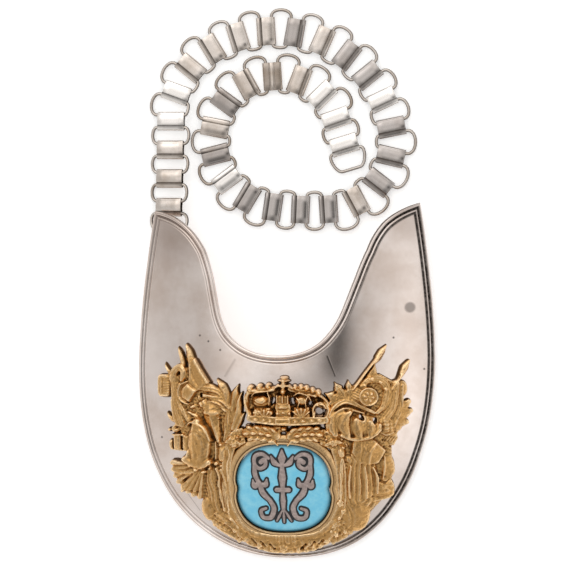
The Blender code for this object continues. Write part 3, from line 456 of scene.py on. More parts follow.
@dataclass(frozen=True)
class NickelSilver(Finish):
    """Old nickel silver: satin, warm grey, with fine wiping marks; its darker patches at the horns are
    painted shade, and the darkening in the rim's grooves, down its right-hand side and along the
    creases is painted shade with some soil.
    """

    name: str = "worn_nickel_silver"
    bright: tuple = (0.90, 0.81, 0.765)
    dull: tuple = (0.72, 0.605, 0.54)
    brown: tuple = (0.34, 0.25, 0.20)
    soil_and_shade: tuple = (0.028, 0.022, 0.018)
    solder_at: Plan = (65.7, 28.1)
    # painted shade at the horns: a place, the radius to which it is full, that at which it ends, and
    # its share
    horn_shade: tuple = (((-58.0, 70.0), 4.0, 30.0, 0.55), ((66.0, 74.0), 2.0, 18.0, 0.4))
    # start and end, then width, depth, and darkness of the painted shade along the crease
    creases: tuple = (((-24.4, 0.7), (-29.6, -7.6), 1.9, 0.3, 0.21),
                      ((24.0, 2.9), (27.8, -7.2), 0.9, 0.35, 0.75))
    pits: tuple = ((-32.3, 5.9), (-43.5, 13.4), (-38.8, 10.4), (57.4, 12.4), (72.9, -4.2),
                   (-66.0, -40.8))
    scratch: tuple = (((-60.2, -58.8), (-55.9, -65.7)), ((-55.9, -65.7), (-45.8, -79.5)))

    def draw(self, graph: Graph) -> None:
        """Adds this finish's nodes."""
        clouds = graph.noise(26, 4.0, 0.6)
        fine = graph.noise(0.5, 3.0, 0.6, (0.12, 1.0, 1.0))
        specks = graph.noise(1.6, 4.0, 0.65)
        soil_and_shade = graph.mark("soil_and_shade")
        solder = graph.away_from(self.solder_at).ramp(2.0, 3.4, 1.0, 0.0)
        dark = solder * 0.5
        for at in self.pits:
            dark = dark.largest(graph.away_from(at).ramp(0.25, 0.8, 0.75, 0.0))
        for start, end in self.scratch:
            dark = dark.largest(graph.off_line(start, end).ramp(0.05, 0.4, 0.3, 0.0))
        fold = 0.0
        for start, end, width, depth, crease_shade in self.creases:
            near = graph.off_line(start, end)
            fold = near.ramp(0.1, width, depth, 0.0) + fold
            # a dark line of painted shade along each crease
            dark = dark.largest(near.ramp(0.1, width * 0.6, crease_shade, 0.0))
        color = graph.mix(clouds.ramp(0.3, 0.75), self.bright, self.dull)
        color = graph.mix(specks.ramp(0.58, 0.8, 0.0, 0.35), color, self.dull)
        # painted shade at the horns, mixed in brown
        for at, near, far, share in self.horn_shade:
            color = graph.mix(graph.away_from(at).ramp(near, far, share, 0.0), color, self.brown)
        color = graph.mix(dark, color, self.soil_and_shade)
        # painted shade in the rim's grooves and down its right-hand side, with some soil
        color = graph.mix((soil_and_shade * (0.6 + specks * 0.8)).clipped(), color, self.soil_and_shade)
        rough = 0.09 + clouds * 0.05 + specks * 0.04 + solder * 0.2 + soil_and_shade * 0.3
        height = fine * 0.3 + specks * 0.3 + fold * -2.5 + dark * -1.2
        graph.surface(
            Base_Color=color, Metallic=1.0, Roughness=rough.clipped(), Normal=graph.bump(height, 0.012)
        )


@dataclass(frozen=True)
class ChainSilver(Finish):
    """The chain's metal: glossier, with brown tarnish at random and painted shade with brown tarnish in
    the rolled edges, painted shade in the grooves, the insides and down the wires' sides, and some
    whole clips painted lighter as a highlight and others darker as shade.
    """

    name: str = "worn_chain_silver"
    bright: tuple = (0.80, 0.735, 0.685)
    tarnish: tuple = (0.36, 0.265, 0.185)
    highlit: tuple = (1.0, 0.965, 0.935)
    shaded: tuple = (0.30, 0.285, 0.29)
    soil_and_shade: tuple = (0.03, 0.022, 0.016)

    def draw(self, graph: Graph) -> None:
        """Adds this finish's nodes."""
        patches = graph.noise(9, 3.0, 0.6)
        shine = graph.mark("shine")
        specks = graph.noise(0.9, 4.0, 0.65)
        scratches = graph.noise(0.35, 2.0, 0.6, (1.0, 0.1, 1.0))
        soil_and_shade = graph.mark("soil_and_shade")
        tint = graph.mark("tint")
        # random tarnish, with the rolled edges' painted shade also turned brown
        brown = (patches.ramp(0.35, 0.75) * 0.35 + tint + soil_and_shade * 0.4).clipped()
        color = graph.mix(brown, self.bright, self.tarnish)
        # whole clips painted darker as shade and lighter as a highlight, in place of their reflections
        color = graph.mix((shine * -1.0).clipped(), color, self.shaded)
        color = graph.mix(shine.clipped(), color, self.highlit)
        # painted shade in the rolled edges, the grooves, the insides and down the wires' sides
        color = graph.mix((soil_and_shade * (0.5 + specks)).clipped(), color, self.soil_and_shade)
        rough = 0.1 + patches * 0.06 + specks * 0.08 + soil_and_shade * 0.3
        height = scratches * 0.3 + specks * 0.3 + graph.mark("bow") * 14.0
        graph.surface(
            Base_Color=color, Metallic=1.0, Roughness=rough.clipped(), Normal=graph.bump(height, 0.03)
        )


@dataclass(frozen=True)
class GiltBrass(Finish):
    """Gilt brass castings: bright on the crests, partly rubbed and partly a painted highlight; dark
    brown in the recesses, patina with painted shade, and painted shade on the walls and on the low
    ground by the plate.
    """

    name: str = "worn_gilt"
    bright: tuple = (1.0, 0.73, 0.43)
    gold: tuple = (0.58, 0.325, 0.115)
    brown: tuple = (0.10, 0.05, 0.017)

    def draw(self, graph: Graph) -> None:
        """Adds this finish's nodes."""
        hollow = graph.mark("hollow")
        crest = graph.mark("crest")
        patches = graph.noise(7, 3.0, 0.6)
        grain = graph.noise(0.8, 4.0, 0.7)
        chased = graph.noise(2.4, 2.0, 0.5)
        # the crests made lighter: part rubbed wear, part painted highlight
        rubbed_and_highlight = (crest * (0.45 + patches * 0.8)).clipped()
        color = graph.mix(rubbed_and_highlight, self.gold, self.bright)
        # painted shade on the low ground next to the plate
        low_shade = graph.mark("level").ramp(0.4, 2.6, 0.5, 0.0)
        # patina in the recesses, with painted shade there, on the walls and on the low ground
        patina_and_shade = (hollow * (0.8 + patches * 0.5) + low_shade).clipped()
        color = graph.mix(patina_and_shade, color, self.brown)
        rough = 0.17 + grain * 0.12 - rubbed_and_highlight * 0.04 + patina_and_shade * 0.3
        graph.surface(
            Base_Color=color, Metallic=1.0, Roughness=rough.clipped(),
            Normal=graph.bump(chased + grain * 0.1, 0.4)
        )


@dataclass(frozen=True)
class SkyEnamel(Finish):
    """Opaque blue enamel, mottled, darker against its frame, where the frame's shadow is painted in
    dark teal.
    """

    name: str = "fired_sky_enamel"
    sky: tuple = (0.19, 0.66, 0.92)
    pale: tuple = (0.30, 0.76, 0.96)
    teal: tuple = (0.02, 0.14, 0.20)

    def draw(self, graph: Graph) -> None:
        """Adds this finish's nodes."""
        mottle = graph.noise(5, 5.0, 0.7)
        flecks = graph.noise(1.2, 3.0, 0.6)
        edge = graph.mark("edge")
        color = graph.mix(mottle.ramp(0.35, 0.7), self.sky, self.pale)
        # painted shadow of the frame in dark teal round the edge; the flecks are the enamel's own
        color = graph.mix((edge + flecks.ramp(0.62, 0.8) * 0.25).clipped(), color, self.teal)
        height = mottle * 0.5 + flecks * 0.3
        graph.surface(
            Base_Color=color,
            Roughness=0.16 + flecks * 0.12,
            Coat_Weight=0.4,
            Normal=graph.bump(height, 0.12),
        )


@dataclass(frozen=True)
class GreyEnamel(Finish):
    """The medallion's ornament: pinkish grey enamel outlined in black, with painted shade in its
    hollows.
    """

    name: str = "fired_grey_enamel"
    grey: tuple = (0.32, 0.25, 0.23)
    pink: tuple = (0.52, 0.42, 0.39)
    black: tuple = (0.012, 0.012, 0.014)

    def draw(self, graph: Graph) -> None:
        """Adds this finish's nodes."""
        hollow = graph.mark("hollow")
        level = graph.mark("level")
        patches = graph.noise(2.5, 4.0, 0.7)
        color = graph.mix(patches.ramp(0.35, 0.7), self.grey, self.pink)
        # a black outline, with painted shade in the hollows between strokes
        lined = level.ramp(0.42, 0.6, 1.0, 0.0).largest(hollow.ramp(0.5, 0.9) * 0.4)
        color = graph.mix(lined, color, self.black)
        graph.surface(
            Base_Color=color, Roughness=0.3 + patches * 0.2, Normal=graph.bump(patches, 0.08)
        )


@dataclass(frozen=True)
class PaleFloor(Finish):
    """A plain pale studio floor."""

    name: str = "pale_floor"

    def draw(self, graph: Graph) -> None:
        """Adds this finish's nodes."""
        grain = graph.noise(40, 2.0)
        color = graph.mix(grain, (0.93, 0.93, 0.93), (0.95, 0.95, 0.95))
        graph.surface(Base_Color=color, Roughness=0.9, Emission_Color=color, Emission_Strength=0.42)


NICKEL = NickelSilver()
CHAIN = ChainSilver()
GILT = GiltBrass()
ENAMEL = SkyEnamel()
GREY = GreyEnamel()
FLOOR = PaleFloor()


# ---------------------------------------------------------------- plate


@dataclass(frozen=True)
class RimRow:
    """One place on the rim's section."""

    inset: float  # distance in from the edge, along the face
    rise: float  # over the face
    # darkness at this row: painted shade in the rim's grooves and on its outer flange, with some soil
    soil_and_shade: float = 0.0
    shade: float = 0.0  # painted shade added on the right-hand side, away from the light


@dataclass
class GorgetPlate:
    """The crescent plate, its moulded rim and its back."""

    edge_count: int = 640
    face_rows: int = 56
    back_rows: int = 5
    tip_places: int = 160  # of an edge, from a horn's tip, among which it meets the other edge
    beaten: float = 0.09  # unevenness of the face
    section: tuple[RimRow, ...] = (
        RimRow(5.3, -1.2), RimRow(1.5, -1.2), RimRow(1.1, -1.35), RimRow(0.95, -1.9),
        RimRow(0.8, -2.0), RimRow(0.2, -2.0), RimRow(0.0, -1.85), RimRow(0.0, -0.6, 0.4, 0.5),
        RimRow(0.02, -0.1, 0.3, 0.6), RimRow(0.12, 0.25, 0.1, 0.6), RimRow(0.3, 0.6, 0.0, 0.5),
        RimRow(0.62, 0.87, 0.0, 0.1), RimRow(1.0, 0.95), RimRow(1.3, 0.88, 0.0, 0.35),
        RimRow(1.65, 0.6, 0.0, 0.85), RimRow(1.95, 0.2, 0.3, 0.75), RimRow(2.15, -0.1, 0.4, 0.5),
        RimRow(2.4, -0.2, 0.5, 0.45), RimRow(2.6, -0.1, 0.4, 0.5), RimRow(2.72, 0.2, 0.2, 0.5),
        RimRow(2.92, 0.45, 0.0, 0.1), RimRow(3.2, 0.6), RimRow(3.5, 0.6),
        RimRow(3.7, 0.46, 0.0, 0.7), RimRow(3.95, 0.1, 0.2, 0.8), RimRow(4.1, -0.14, 0.3, 0.6),
        RimRow(4.3, -0.18, 0.3, 0.6), RimRow(4.5, -0.05, 0.1, 0.8), RimRow(4.85, 0.0, 0.0, 0.8),
        RimRow(5.1, 0.0, 0.0, 0.3), RimRow(5.4, 0.0),
    )

    def insets(self) -> Callable[[float], tuple[Array, Array]]:
        """A function that gives the neck and outer edges moved in along the face by a distance,
        cut off where they cross each other near the horn tips."""
        neck, outer = FORM.neck(self.edge_count), FORM.outer(self.edge_count)
        neck_step = FORM.inset_steps(neck, 1)
        outer_step = FORM.inset_steps(outer, -1)

        def at(distance: float) -> tuple[Array, Array]:
            """Both edges at this distance in."""
            lines = [neck + neck_step * distance, outer + outer_step * distance]
            for end in (1, -1):
                near = [line[::end] for line in lines]
                corner, *cuts = first_crossing(*(line[: self.tip_places] for line in near))
                for line, cut in zip(near, cuts):
                    line[: cut + 1] = corner
            return lines[0], lines[1]

        return at

    def sheet(self, neck: Array, outer: Array, rise: float, rows: int, beaten: float) -> Mesh:
        """One face of the plate between two edges: each place is a share of the way from the
        neck edge to the outer one, lifted by a few crossing waves that die out at the edges."""
        share = np.linspace(0, 1, rows + 1)[None, :, None]
        plan = neck[:, None, :] * (1 - share) + outer[:, None, :] * share
        x, y = plan[..., 0], plan[..., 1]
        waves = np.sin(x / 9.1 + 0.7 * np.sin(y / 13)) + np.sin(y / 11.7 + 1.3 * np.sin(x / 17))
        waves = waves + 0.6 * np.sin((x + y) / 5.9) + 0.5 * np.sin((x - 1.4 * y) / 7.3)
        fade = np.clip(4 * share[..., 0] * (1 - share[..., 0]), 0, 1) ** 0.5
        places = FORM.on(plan, rise + beaten * waves * fade / 2)
        return Mesh(places.reshape(-1, 3), grid_faces(len(neck), rows + 1))

    def build(self) -> bpy.types.Object:
        """The plate as one closed sheet."""
        at = self.insets()
        loops = []
        for row in self.section:
            neck, outer = at(row.inset)
            loops.append(FORM.on(np.vstack([neck, outer[::-1][1:-1]]), row.rise))
        # painted shade in the grooves, with more of it towards the right-hand side, away from the light
        soil_and_shade = []
        for row, loop in zip(self.section, loops):
            soil_and_shade.append(np.clip(row.soil_and_shade + row.shade * np.clip(loop[:, 0] / 50, 0, 1), 0, 1))
        count = len(loops[0])
        rim = Mesh(np.vstack(loops), grid_faces(len(loops), count, ring=True),
                   {"soil_and_shade": np.concatenate(soil_and_shade)})
        first, last = self.section[0], self.section[-1]
        back = self.sheet(*at(first.inset), first.rise, self.back_rows, 0.0)
        face = self.sheet(*at(last.inset), last.rise, self.face_rows, self.beaten)
        whole = rim.joined(back).joined(face)
        piece = add_piece("plate", whole, NICKEL.material(), ["gorget_plate"],
                          weld=WELD)
        piece.data.set_sharp_from_angle(angle=math.radians(50))
        return piece


def first_crossing(first: Array, second: Array) -> tuple[Array, int, int]:
    """Where two lines that start side by side cross for the last time.

    Every segment of one is solved against every segment of the other as two linear equations.

    Args:
        first: Places of one line.
        second: Places of the other.

    Returns:
        The crossing, and the number of the segment before it on each line.
    """
    p, r = first[:-1, None, :], np.diff(first, axis=0)[:, None, :]
    q, s = second[None, :-1, :], np.diff(second, axis=0)[None, :, :]
    cross = r[..., 0] * s[..., 1] - r[..., 1] * s[..., 0]
    gap = q - p
    with np.errstate(divide="ignore", invalid="ignore"):
        t = (gap[..., 0] * s[..., 1] - gap[..., 1] * s[..., 0]) / cross
        u = (gap[..., 0] * r[..., 1] - gap[..., 1] * r[..., 0]) / cross
    hits = np.argwhere((t >= 0) & (t <= 1) & (u >= 0) & (u <= 1))
    i, j = hits[-1]
    return first[i] + np.diff(first, axis=0)[i] * t[i, j], int(i), int(j)


# ---------------------------------------------------------------- relief


class Cross(Enum):
    """Section across a ribbon."""

    ROUND = "round"
    RIDGE = "ridge"
    FLAT = "flat"
    LEAF = "leaf"


@dataclass(frozen=True)
class Element:
    """A modelled form of a casting. Its form gives, at plan places, the distance inside its
    outline and the rise of its top; its edge is rounded off over a short width."""

    rise: float
    edge: float = field(default=0.7, kw_only=True)

    def form(self, x: Array, y: Array) -> tuple[Array, Array]:
        """Distance inside the outline, and rise of the top."""
        raise NotImplementedError

    def window(self) -> tuple[float, float, float, float]:
        """Lowest and highest x, then lowest and highest y, that the element reaches."""
        raise NotImplementedError

    def laid_on(self, rise: Array, x: Array, y: Array) -> Array:
        """The rises with this element added: the top times a quarter circle of the distance
        inside, where that is higher. A negative rise cuts in by as much, and a very low one
        pierces."""
        inside, top = self.form(x, y)
        if self.rise <= THROUGH:
            return np.where(inside > 0, SUNK, rise)
        share = np.clip(inside / self.edge, 0, 1)
        rounded = top * np.sqrt(1 - (1 - share) ** 2)
        if self.rise < 0:
            cut = np.maximum(rise + rounded, CUT_FLOOR)
            return np.where((inside > 0) & (rise > CUT_FLOOR), cut, rise)
        added = np.where(inside > 0, rounded, np.maximum(inside * SKIRT_SLOPE, SUNK))
        filled = np.clip(1 - np.abs(added - rise) / FILLET, 0, 1)
        filled = filled * (np.minimum(rise, added) > CUT_FLOOR)
        return np.maximum(rise, added) + filled**2 * FILLET / 4


@dataclass(frozen=True)
class Mound(Element):
    """A domed superellipse, with grooves along it if it has them."""

    at: Plan = (0.0, 0.0)
    size: Plan = (1.0, 1.0)
    turn: float = 0.0
    power: float = 2.0
    dome: float = 0.6
    grooves: float = 0.0  # how many across its width
    rings: float = 0.0  # how many bands along its length
    cut: float = 0.12  # depth of grooves and bands, as a share of the rise

    def form(self, x: Array, y: Array) -> tuple[Array, Array]:
        """The superellipse's radius falls from its middle; the top falls with its square."""
        turn = math.radians(self.turn)
        dx, dy = x - self.at[0], y - self.at[1]
        u = (dx * math.cos(turn) + dy * math.sin(turn)) / (self.size[0] / 2)
        v = (dy * math.cos(turn) - dx * math.sin(turn)) / (self.size[1] / 2)
        r = (np.abs(u) ** self.power + np.abs(v) ** self.power) ** (1 / self.power)
        top = self.rise * (1 - self.dome * np.minimum(r, 1) ** 2)
        if self.grooves:
            top = top * (1 - self.cut * (0.5 + 0.5 * np.cos(math.pi * self.grooves * v)))
        if self.rings:
            top = top * (1 - self.cut * (0.5 + 0.5 * np.cos(math.pi * self.rings * u)))
        return (1 - r) * min(self.size) / 2, top

    def window(self) -> tuple[float, float, float, float]:
        """A square round the middle."""
        reach = max(self.size) * 0.75 + MARGIN
        return (self.at[0] - reach, self.at[0] + reach, self.at[1] - reach, self.at[1] + reach)


@dataclass(frozen=True)
class Ribbon(Element):
    """A band along a curve: a leaf, a pole, a fold, a cord or a moulding."""

    path: tuple[Plan, ...] = ()
    widths: tuple[float, ...] = (2.0, 2.0)
    cross: Cross = Cross.ROUND
    lobes: float = 0.0  # how many along it
    lobe_depth: float = 0.25
    tilt: float = 0.0  # how much higher its left side is, as a share
    strands: float = 0.0  # how many lie side by side across it
    strand_depth: float = 0.26
    strand_wave: float = 0.35  # how far they wander, as a share of a strand

    def form(self, x: Array, y: Array) -> tuple[Array, Array]:
        """Each place is taken to the nearest place of the curve; the distance across it, as a
        share u of the half width there, gives the section's height."""
        line = smooth_line(self.path, LINE_STEPS)
        run = np.linspace(0, 1, len(line))
        start, step = line[:-1], np.diff(line, axis=0)
        length = np.linalg.norm(step, axis=1)
        dx = x[..., None] - start[:, 0]
        dy = y[..., None] - start[:, 1]
        share = np.clip((dx * step[:, 0] + dy * step[:, 1]) / length**2, 0, 1)
        ox, oy = dx - share * step[:, 0], dy - share * step[:, 1]
        away = np.hypot(ox, oy)
        nearest = np.argmin(away, axis=-1)

        def pick(values: Array) -> Array:
            """The values of each place's nearest step."""
            return np.take_along_axis(values, nearest[..., None], -1)[..., 0]

        away = pick(away)
        side = np.sign(pick(step[:, 0] * oy - step[:, 1] * ox))
        t = (nearest + pick(share)) * run[1]
        half = np.interp(t, np.linspace(0, 1, len(self.widths)), self.widths) / 2
        total = length.sum()
        if self.lobes:
            wave = np.abs(np.sin(math.pi * (self.lobes * t - 0.25 * np.minimum(away / half, 1))))
            half = half * (1 - self.lobe_depth * (1 - wave))
        u = np.minimum(away / half, 1)
        top = np.full_like(u, self.rise)
        inside = half - away
        if self.cross is Cross.ROUND:
            top = self.rise * (0.35 + 0.65 * np.sqrt(1 - u**2))
        elif self.cross is Cross.RIDGE:
            top = self.rise * (1 - 0.5 * u)
        elif self.cross is Cross.LEAF:
            vein = np.exp(-((away / VEIN) ** 2))
            ribs = 0.5 + 0.5 * np.cos(2 * math.pi * (t * total / RIB_PITCH - 0.8 * u))
            top = self.rise * (1 - 0.35 * u**2 - 0.12 * vein - 0.1 * ribs * np.minimum(1, 2 * u))
        if self.strands:
            wander = self.strand_wave * np.sin(t * total / WANDER_REACH)
            wave = np.abs(np.sin(math.pi * (self.strands * side * u / 2 + wander)))
            top = top * (1 - self.strand_depth * (1 - wave))
        return inside, top * (1 + self.tilt * side * u)

    def window(self) -> tuple[float, float, float, float]:
        """The curve's box, and half the width round it."""
        line = smooth_line(self.path, LINE_STEPS)
        reach = max(self.widths) / 2 + MARGIN
        (x0, y0), (x1, y1) = line.min(axis=0) - reach, line.max(axis=0) + reach
        return (x0, x1, y0, y1)


@dataclass(frozen=True)
class Fan(Element):
    """Pleats that spread from a pivot, such as a skirt, a shell or a palmette."""

    pivot: Plan = (0.0, 0.0)
    angles: Plan = (0.0, 180.0)
    radii: Plan = (1.0, 10.0)
    pleats: int = 6
    scallop: float = 0.8
    depth: float = 0.35

    def form(self, x: Array, y: Array) -> tuple[Array, Array]:
        """In polar places round the pivot, each pleat is an arch of a sine; its end is round."""
        dx, dy = x - self.pivot[0], y - self.pivot[1]
        r = np.hypot(dx, dy)
        first, last = (math.radians(a) for a in self.angles)
        middle = (first + last) / 2
        turn = np.arctan2(dy, dx) - middle
        turn = np.arctan2(np.sin(turn), np.cos(turn)) + middle
        share = (turn - first) / (last - first)
        arch = np.abs(np.sin(math.pi * self.pleats * np.clip(share, 0, 1)))
        outer = self.radii[1] - self.scallop * (1 - arch)
        sides = r * np.minimum(turn - first, last - turn)
        inside = np.minimum(np.minimum(r - self.radii[0], outer - r), sides)
        top = self.rise * (1 - self.depth + self.depth * np.sqrt(arch))
        return inside, top

    def window(self) -> tuple[float, float, float, float]:
        """The whole circle's box."""
        reach = self.radii[1] + MARGIN
        return (
            self.pivot[0] - reach, self.pivot[0] + reach, self.pivot[1] - reach, self.pivot[1] + reach
        )


@dataclass(frozen=True)
class Disc(Element):
    """A turned form: its table gives the rise at shares of its radius. Petals wave it."""

    at: Plan = (0.0, 0.0)
    size: Plan = (2.0, 2.0)
    turn: float = 0.0
    table: tuple[Plan, ...] = ((0.0, 1.0), (1.0, 1.0))
    petals: int = 0
    petal_depth: float = 0.25
    petal_from: float = 0.3

    def form(self, x: Array, y: Array) -> tuple[Array, Array]:
        """The rise is read from the table at the place's share of the radius."""
        turn = math.radians(self.turn)
        dx, dy = x - self.at[0], y - self.at[1]
        u = (dx * math.cos(turn) + dy * math.sin(turn)) / (self.size[0] / 2)
        v = (dy * math.cos(turn) - dx * math.sin(turn)) / (self.size[1] / 2)
        r = np.hypot(u, v)
        shares, rises = np.transpose(self.table)
        top = self.rise * np.interp(r, shares, rises)
        limit = np.ones_like(r)
        if self.petals:
            wave = np.abs(np.sin(self.petals * np.arctan2(v, u) / 2))
            limit = 1 - 0.5 * self.petal_depth * (1 - wave)
            top = top * (1 - self.petal_depth * (1 - wave) * (r > self.petal_from))
        return (limit - r) * min(self.size) / 2, top

    def window(self) -> tuple[float, float, float, float]:
        """A square round the middle."""
        reach = max(self.size) / 2 + MARGIN
        return (self.at[0] - reach, self.at[0] + reach, self.at[1] - reach, self.at[1] + reach)


@dataclass(frozen=True)
class Facet(Element):
    """A form with straight sides. Its table gives the rise at distances in from them."""

    corners: tuple[Plan, ...] = ()  # anticlockwise
    table: tuple[Plan, ...] = ((0.0, 1.0), (1.0, 1.0))

    def form(self, x: Array, y: Array) -> tuple[Array, Array]:
        """The distance inside is the least one to any side."""
        corners = np.array(self.corners)
        inside = np.full_like(x, np.inf)
        for (ax, ay), (bx, by) in zip(corners, np.roll(corners, -1, axis=0)):
            length = math.hypot(bx - ax, by - ay)
            inside = np.minimum(inside, ((bx - ax) * (y - ay) - (by - ay) * (x - ax)) / length)
        distances, rises = np.transpose(self.table)
        top = self.rise * np.interp(inside, distances, rises)
        return inside, top

    def window(self) -> tuple[float, float, float, float]:
        """The corners' box."""
        corners = np.array(self.corners)
        (x0, y0), (x1, y1) = corners.min(axis=0) - MARGIN, corners.max(axis=0) + MARGIN
        return (x0, x1, y0, y1)


@dataclass(frozen=True)
class Gear(Element):
    """A heap of small rough forms over an area with straight sides."""

    corners: tuple[Plan, ...] = ()
    pitch: float = 2.2
    seed: int = 1

    def form(self, x: Array, y: Array) -> tuple[Array, Array]:
        """The rise is the rectified sum of a few waves in seeded directions."""
        inside, _ = Facet(rise=1.0, corners=self.corners).form(x, y)
        return inside, self.rise * (0.6 + 0.4 * lumps(x, y, self.pitch, self.seed))

    def window(self) -> tuple[float, float, float, float]:
        """The corners' box."""
        return Facet(rise=1.0, corners=self.corners).window()


def lumps(x: Array, y: Array, pitch: float, seed: int) -> Array:
    """Rounded lumps from 0 to 1: the mean of rectified waves in seeded directions."""
    rng = np.random.default_rng(seed)
    total = np.zeros_like(x)
    count = 6
    for angle, phase, scale in zip(
        rng.uniform(0, math.pi, count), rng.uniform(0, 6, count), rng.uniform(0.7, 1.4, count)
    ):
        total = total + np.abs(
            np.sin((x * np.cos(angle) + y * np.sin(angle)) / (pitch * scale) * math.pi + phase)
        )
    return np.clip((total / count - 0.35) / 0.55, 0, 1)


def softened(values: Array, radius: float) -> Array:
    """The field blurred by a bell of this radius in cells, one axis after the other."""
    reach = int(math.ceil(radius * 2.5))
    offsets = np.arange(-reach, reach + 1)
    bell = np.exp(-0.5 * (offsets / radius) ** 2)
    bell /= bell.sum()
    for axis in (0, 1):
        padded = np.pad(values, [(reach, reach) if k == axis else (0, 0) for k in (0, 1)], mode="edge")
        parts = [np.take(padded, np.arange(values.shape[axis]) + reach + o, axis=axis) for o in offsets]
        values = sum(weight * part for weight, part in zip(bell, parts))
    return values


def share_of(values: Array, limits: Plan) -> Array:
    """How far the values are from the first limit to the second, kept from 0 to 1."""
    start, full = limits
    return np.clip((values - start) / (full - start), 0, 1)


@dataclass
class Casting:
    """A piece of relief worked out as a field of rises over a plan grid. Its ranges say where a
    share starts and where it is full."""

    elements: Iterable[Element]
    cell: float = 0.28
    lift: Callable[[Array, Array], Array] | None = None
    uneven: float = 0.22  # depth of the casting's unevenness
    soft: float = 0.24  # radius over which its forms are rounded off
    uneven_waves: tuple = ((1.9, 21), (4.3, 22))  # pitch, then seed
    uneven_rises: Plan = (0.6, 1.8)
    foot: float = 0.15  # rise over the lower edge at which the sheet starts
    near: float = 0.9  # radius over which the rises around a place are averaged
    hollow_depths: Plan = (0.05, 0.95)  # below that average
    crest_heights: Plan = (0.06, 0.68)  # above it
    steep_slopes: Plan = (1.8, 3.2)
    steep_rises: Plan = (2.6, 1.2)
    # painted shade on the border walls, so that they look dark and their reflection in the plate is
    # dark
    border_shade: float = 0.95

    def field(self) -> tuple[Array, Array, Array]:
        """The grid's x and y, and the highest rise of all the elements at each place."""
        elements = list(self.elements)
        windows = np.array([element.window() for element in elements])
        xs = np.arange(windows[:, 0].min(), windows[:, 1].max(), self.cell)
        ys = np.arange(windows[:, 2].min(), windows[:, 3].max(), self.cell)
        x, y = np.meshgrid(xs, ys)
        rise = np.full_like(x, SUNK)
        for element, (x0, x1, y0, y1) in zip(elements, windows):
            rows = slice(*np.searchsorted(ys, (y0, y1)))
            columns = slice(*np.searchsorted(xs, (x0, x1)))
            part = (rows, columns)
            rise[part] = element.laid_on(rise[part], x[part], y[part])
        waves = sum(lumps(x, y, pitch, seed) for pitch, seed in self.uneven_waves) - 1.0
        uneven = rise + self.uneven * waves * share_of(rise, self.uneven_rises)
        return x, y, softened(uneven, self.soft / self.cell)

    def mesh(self) -> Mesh:
        """A closed sheet over the cells that rise above the plate: the field on top, an even
        sheet below, and walls between them at the border."""
        x, y, rise = self.field()
        solid = rise > SUNK + self.foot
        cells = solid[:-1, :-1] & solid[1:, :-1] & solid[:-1, 1:] & solid[1:, 1:]
        index = np.arange(rise.size).reshape(rise.shape)
        quads = np.stack([index[:-1, :-1], index[:-1, 1:], index[1:, 1:], index[1:, :-1]], -1)[cells]
        under = quads[:, ::-1] + rise.size
        edges = np.concatenate([quads[:, [k, (k + 1) % 4]] for k in range(4)])
        keys = edges.min(axis=1) * rise.size + edges.max(axis=1)
        _, first, count = np.unique(keys, return_index=True, return_counts=True)
        border = edges[first[count == 1]]
        walls = np.column_stack([border[:, ::-1], border + rise.size])
        faces = np.concatenate([quads, under, walls])
        used, faces = np.unique(faces, return_inverse=True)
        plan = np.stack([x, y], axis=-1).reshape(-1, 2)
        lift = self.lift(x, y).reshape(-1) if self.lift else np.zeros(rise.size)
        top = FORM.on(plan, rise.reshape(-1) + lift)
        bottom = FORM.on(plan, lift + SUNK)
        height = np.maximum(rise, 0.0)
        near = softened(height, self.near / self.cell)
        closed = np.pad(cells, 1)
        whole = closed[:-1, :-1] & closed[1:, :-1] & closed[:-1, 1:] & closed[1:, 1:]
        # the hollow mark: depth below the surroundings, for patina and painted shade, and full painted
        # shade on the border walls
        hollow = np.where(whole, share_of(near - height, self.hollow_depths), self.border_shade)
        # steep, high walls get painted shade as well
        steep = share_of(np.hypot(*np.gradient(height, self.cell)), self.steep_slopes)
        steep = steep * share_of(height, self.steep_rises)
        hollow = np.maximum(hollow, steep)
        # the crest mark: height above the surroundings, for wear and a painted highlight
        crest = share_of(height - near, self.crest_heights) * (1 - steep)
        marks = {"hollow": hollow, "crest": crest, "level": height}
        doubled = {name: np.tile(values.reshape(-1), 2)[used] for name, values in marks.items()}
        return Mesh(np.vstack([top, bottom])[used], faces.reshape(-1, 4), doubled)


# ---------------------------------------------------------------- the castings' tables

ROUND = Cross.ROUND
RIDGE = Cross.RIDGE
FLAT = Cross.FLAT
LEAF = Cross.LEAF


def row_of(make: Callable[[Plan], Element], start: Plan, end: Plan, count: int) -> list[Element]:
    """The same element at equal steps from a start to an end."""
    places = np.linspace(start, end, count)
    return [make((float(x), float(y))) for x, y in places]


def stroke(rise: float, run: Plan, width: float) -> Callable[[Plan], Element]:
    """A maker of short straight ridges, or grooves where the rise is negative."""

    def make(at: Plan) -> Element:
        """One of them, from this place."""
        return Ribbon(rise, (at, (at[0] + run[0], at[1] + run[1])), (width, width))

    return make


def laurel(start: Plan, end: Plan, bow: float, leaves: int) -> list[Element]:
    """A bundle of laurel: rows of short lumpy leaves over a soft bed, staggered along a bowed
    line, the outer rows splayed."""
    line = smooth_line((start, ((start[0] + end[0]) / 2, (start[1] + end[1]) / 2 + bow), end),
                       leaves + 2)
    made: list[Element] = [Ribbon(3.9, tuple(map(tuple, line[::2])), (6.0, 9.4, 9.2, 6.0))]
    rows = ((3.0, 0.35, 4.8), (-2.8, -0.35, 4.7), (0.0, 0.0, 5.6))
    for row, (offset, splay, rise) in enumerate(rows):
        for k in range(leaves):
            along = line[k + 1] - line[k]
            heading = math.atan2(along[1], along[0])
            side = np.array([-math.sin(heading), math.cos(heading)])
            middle = line[k] + along * (0.5 + 0.5 * (row == 2)) + side * offset
            turn = math.degrees(heading + splay)
            made.append(Mound(rise, tuple(middle), (5.6, 3.3), turn, power=1.6, dome=0.5, edge=0.6))
    return made


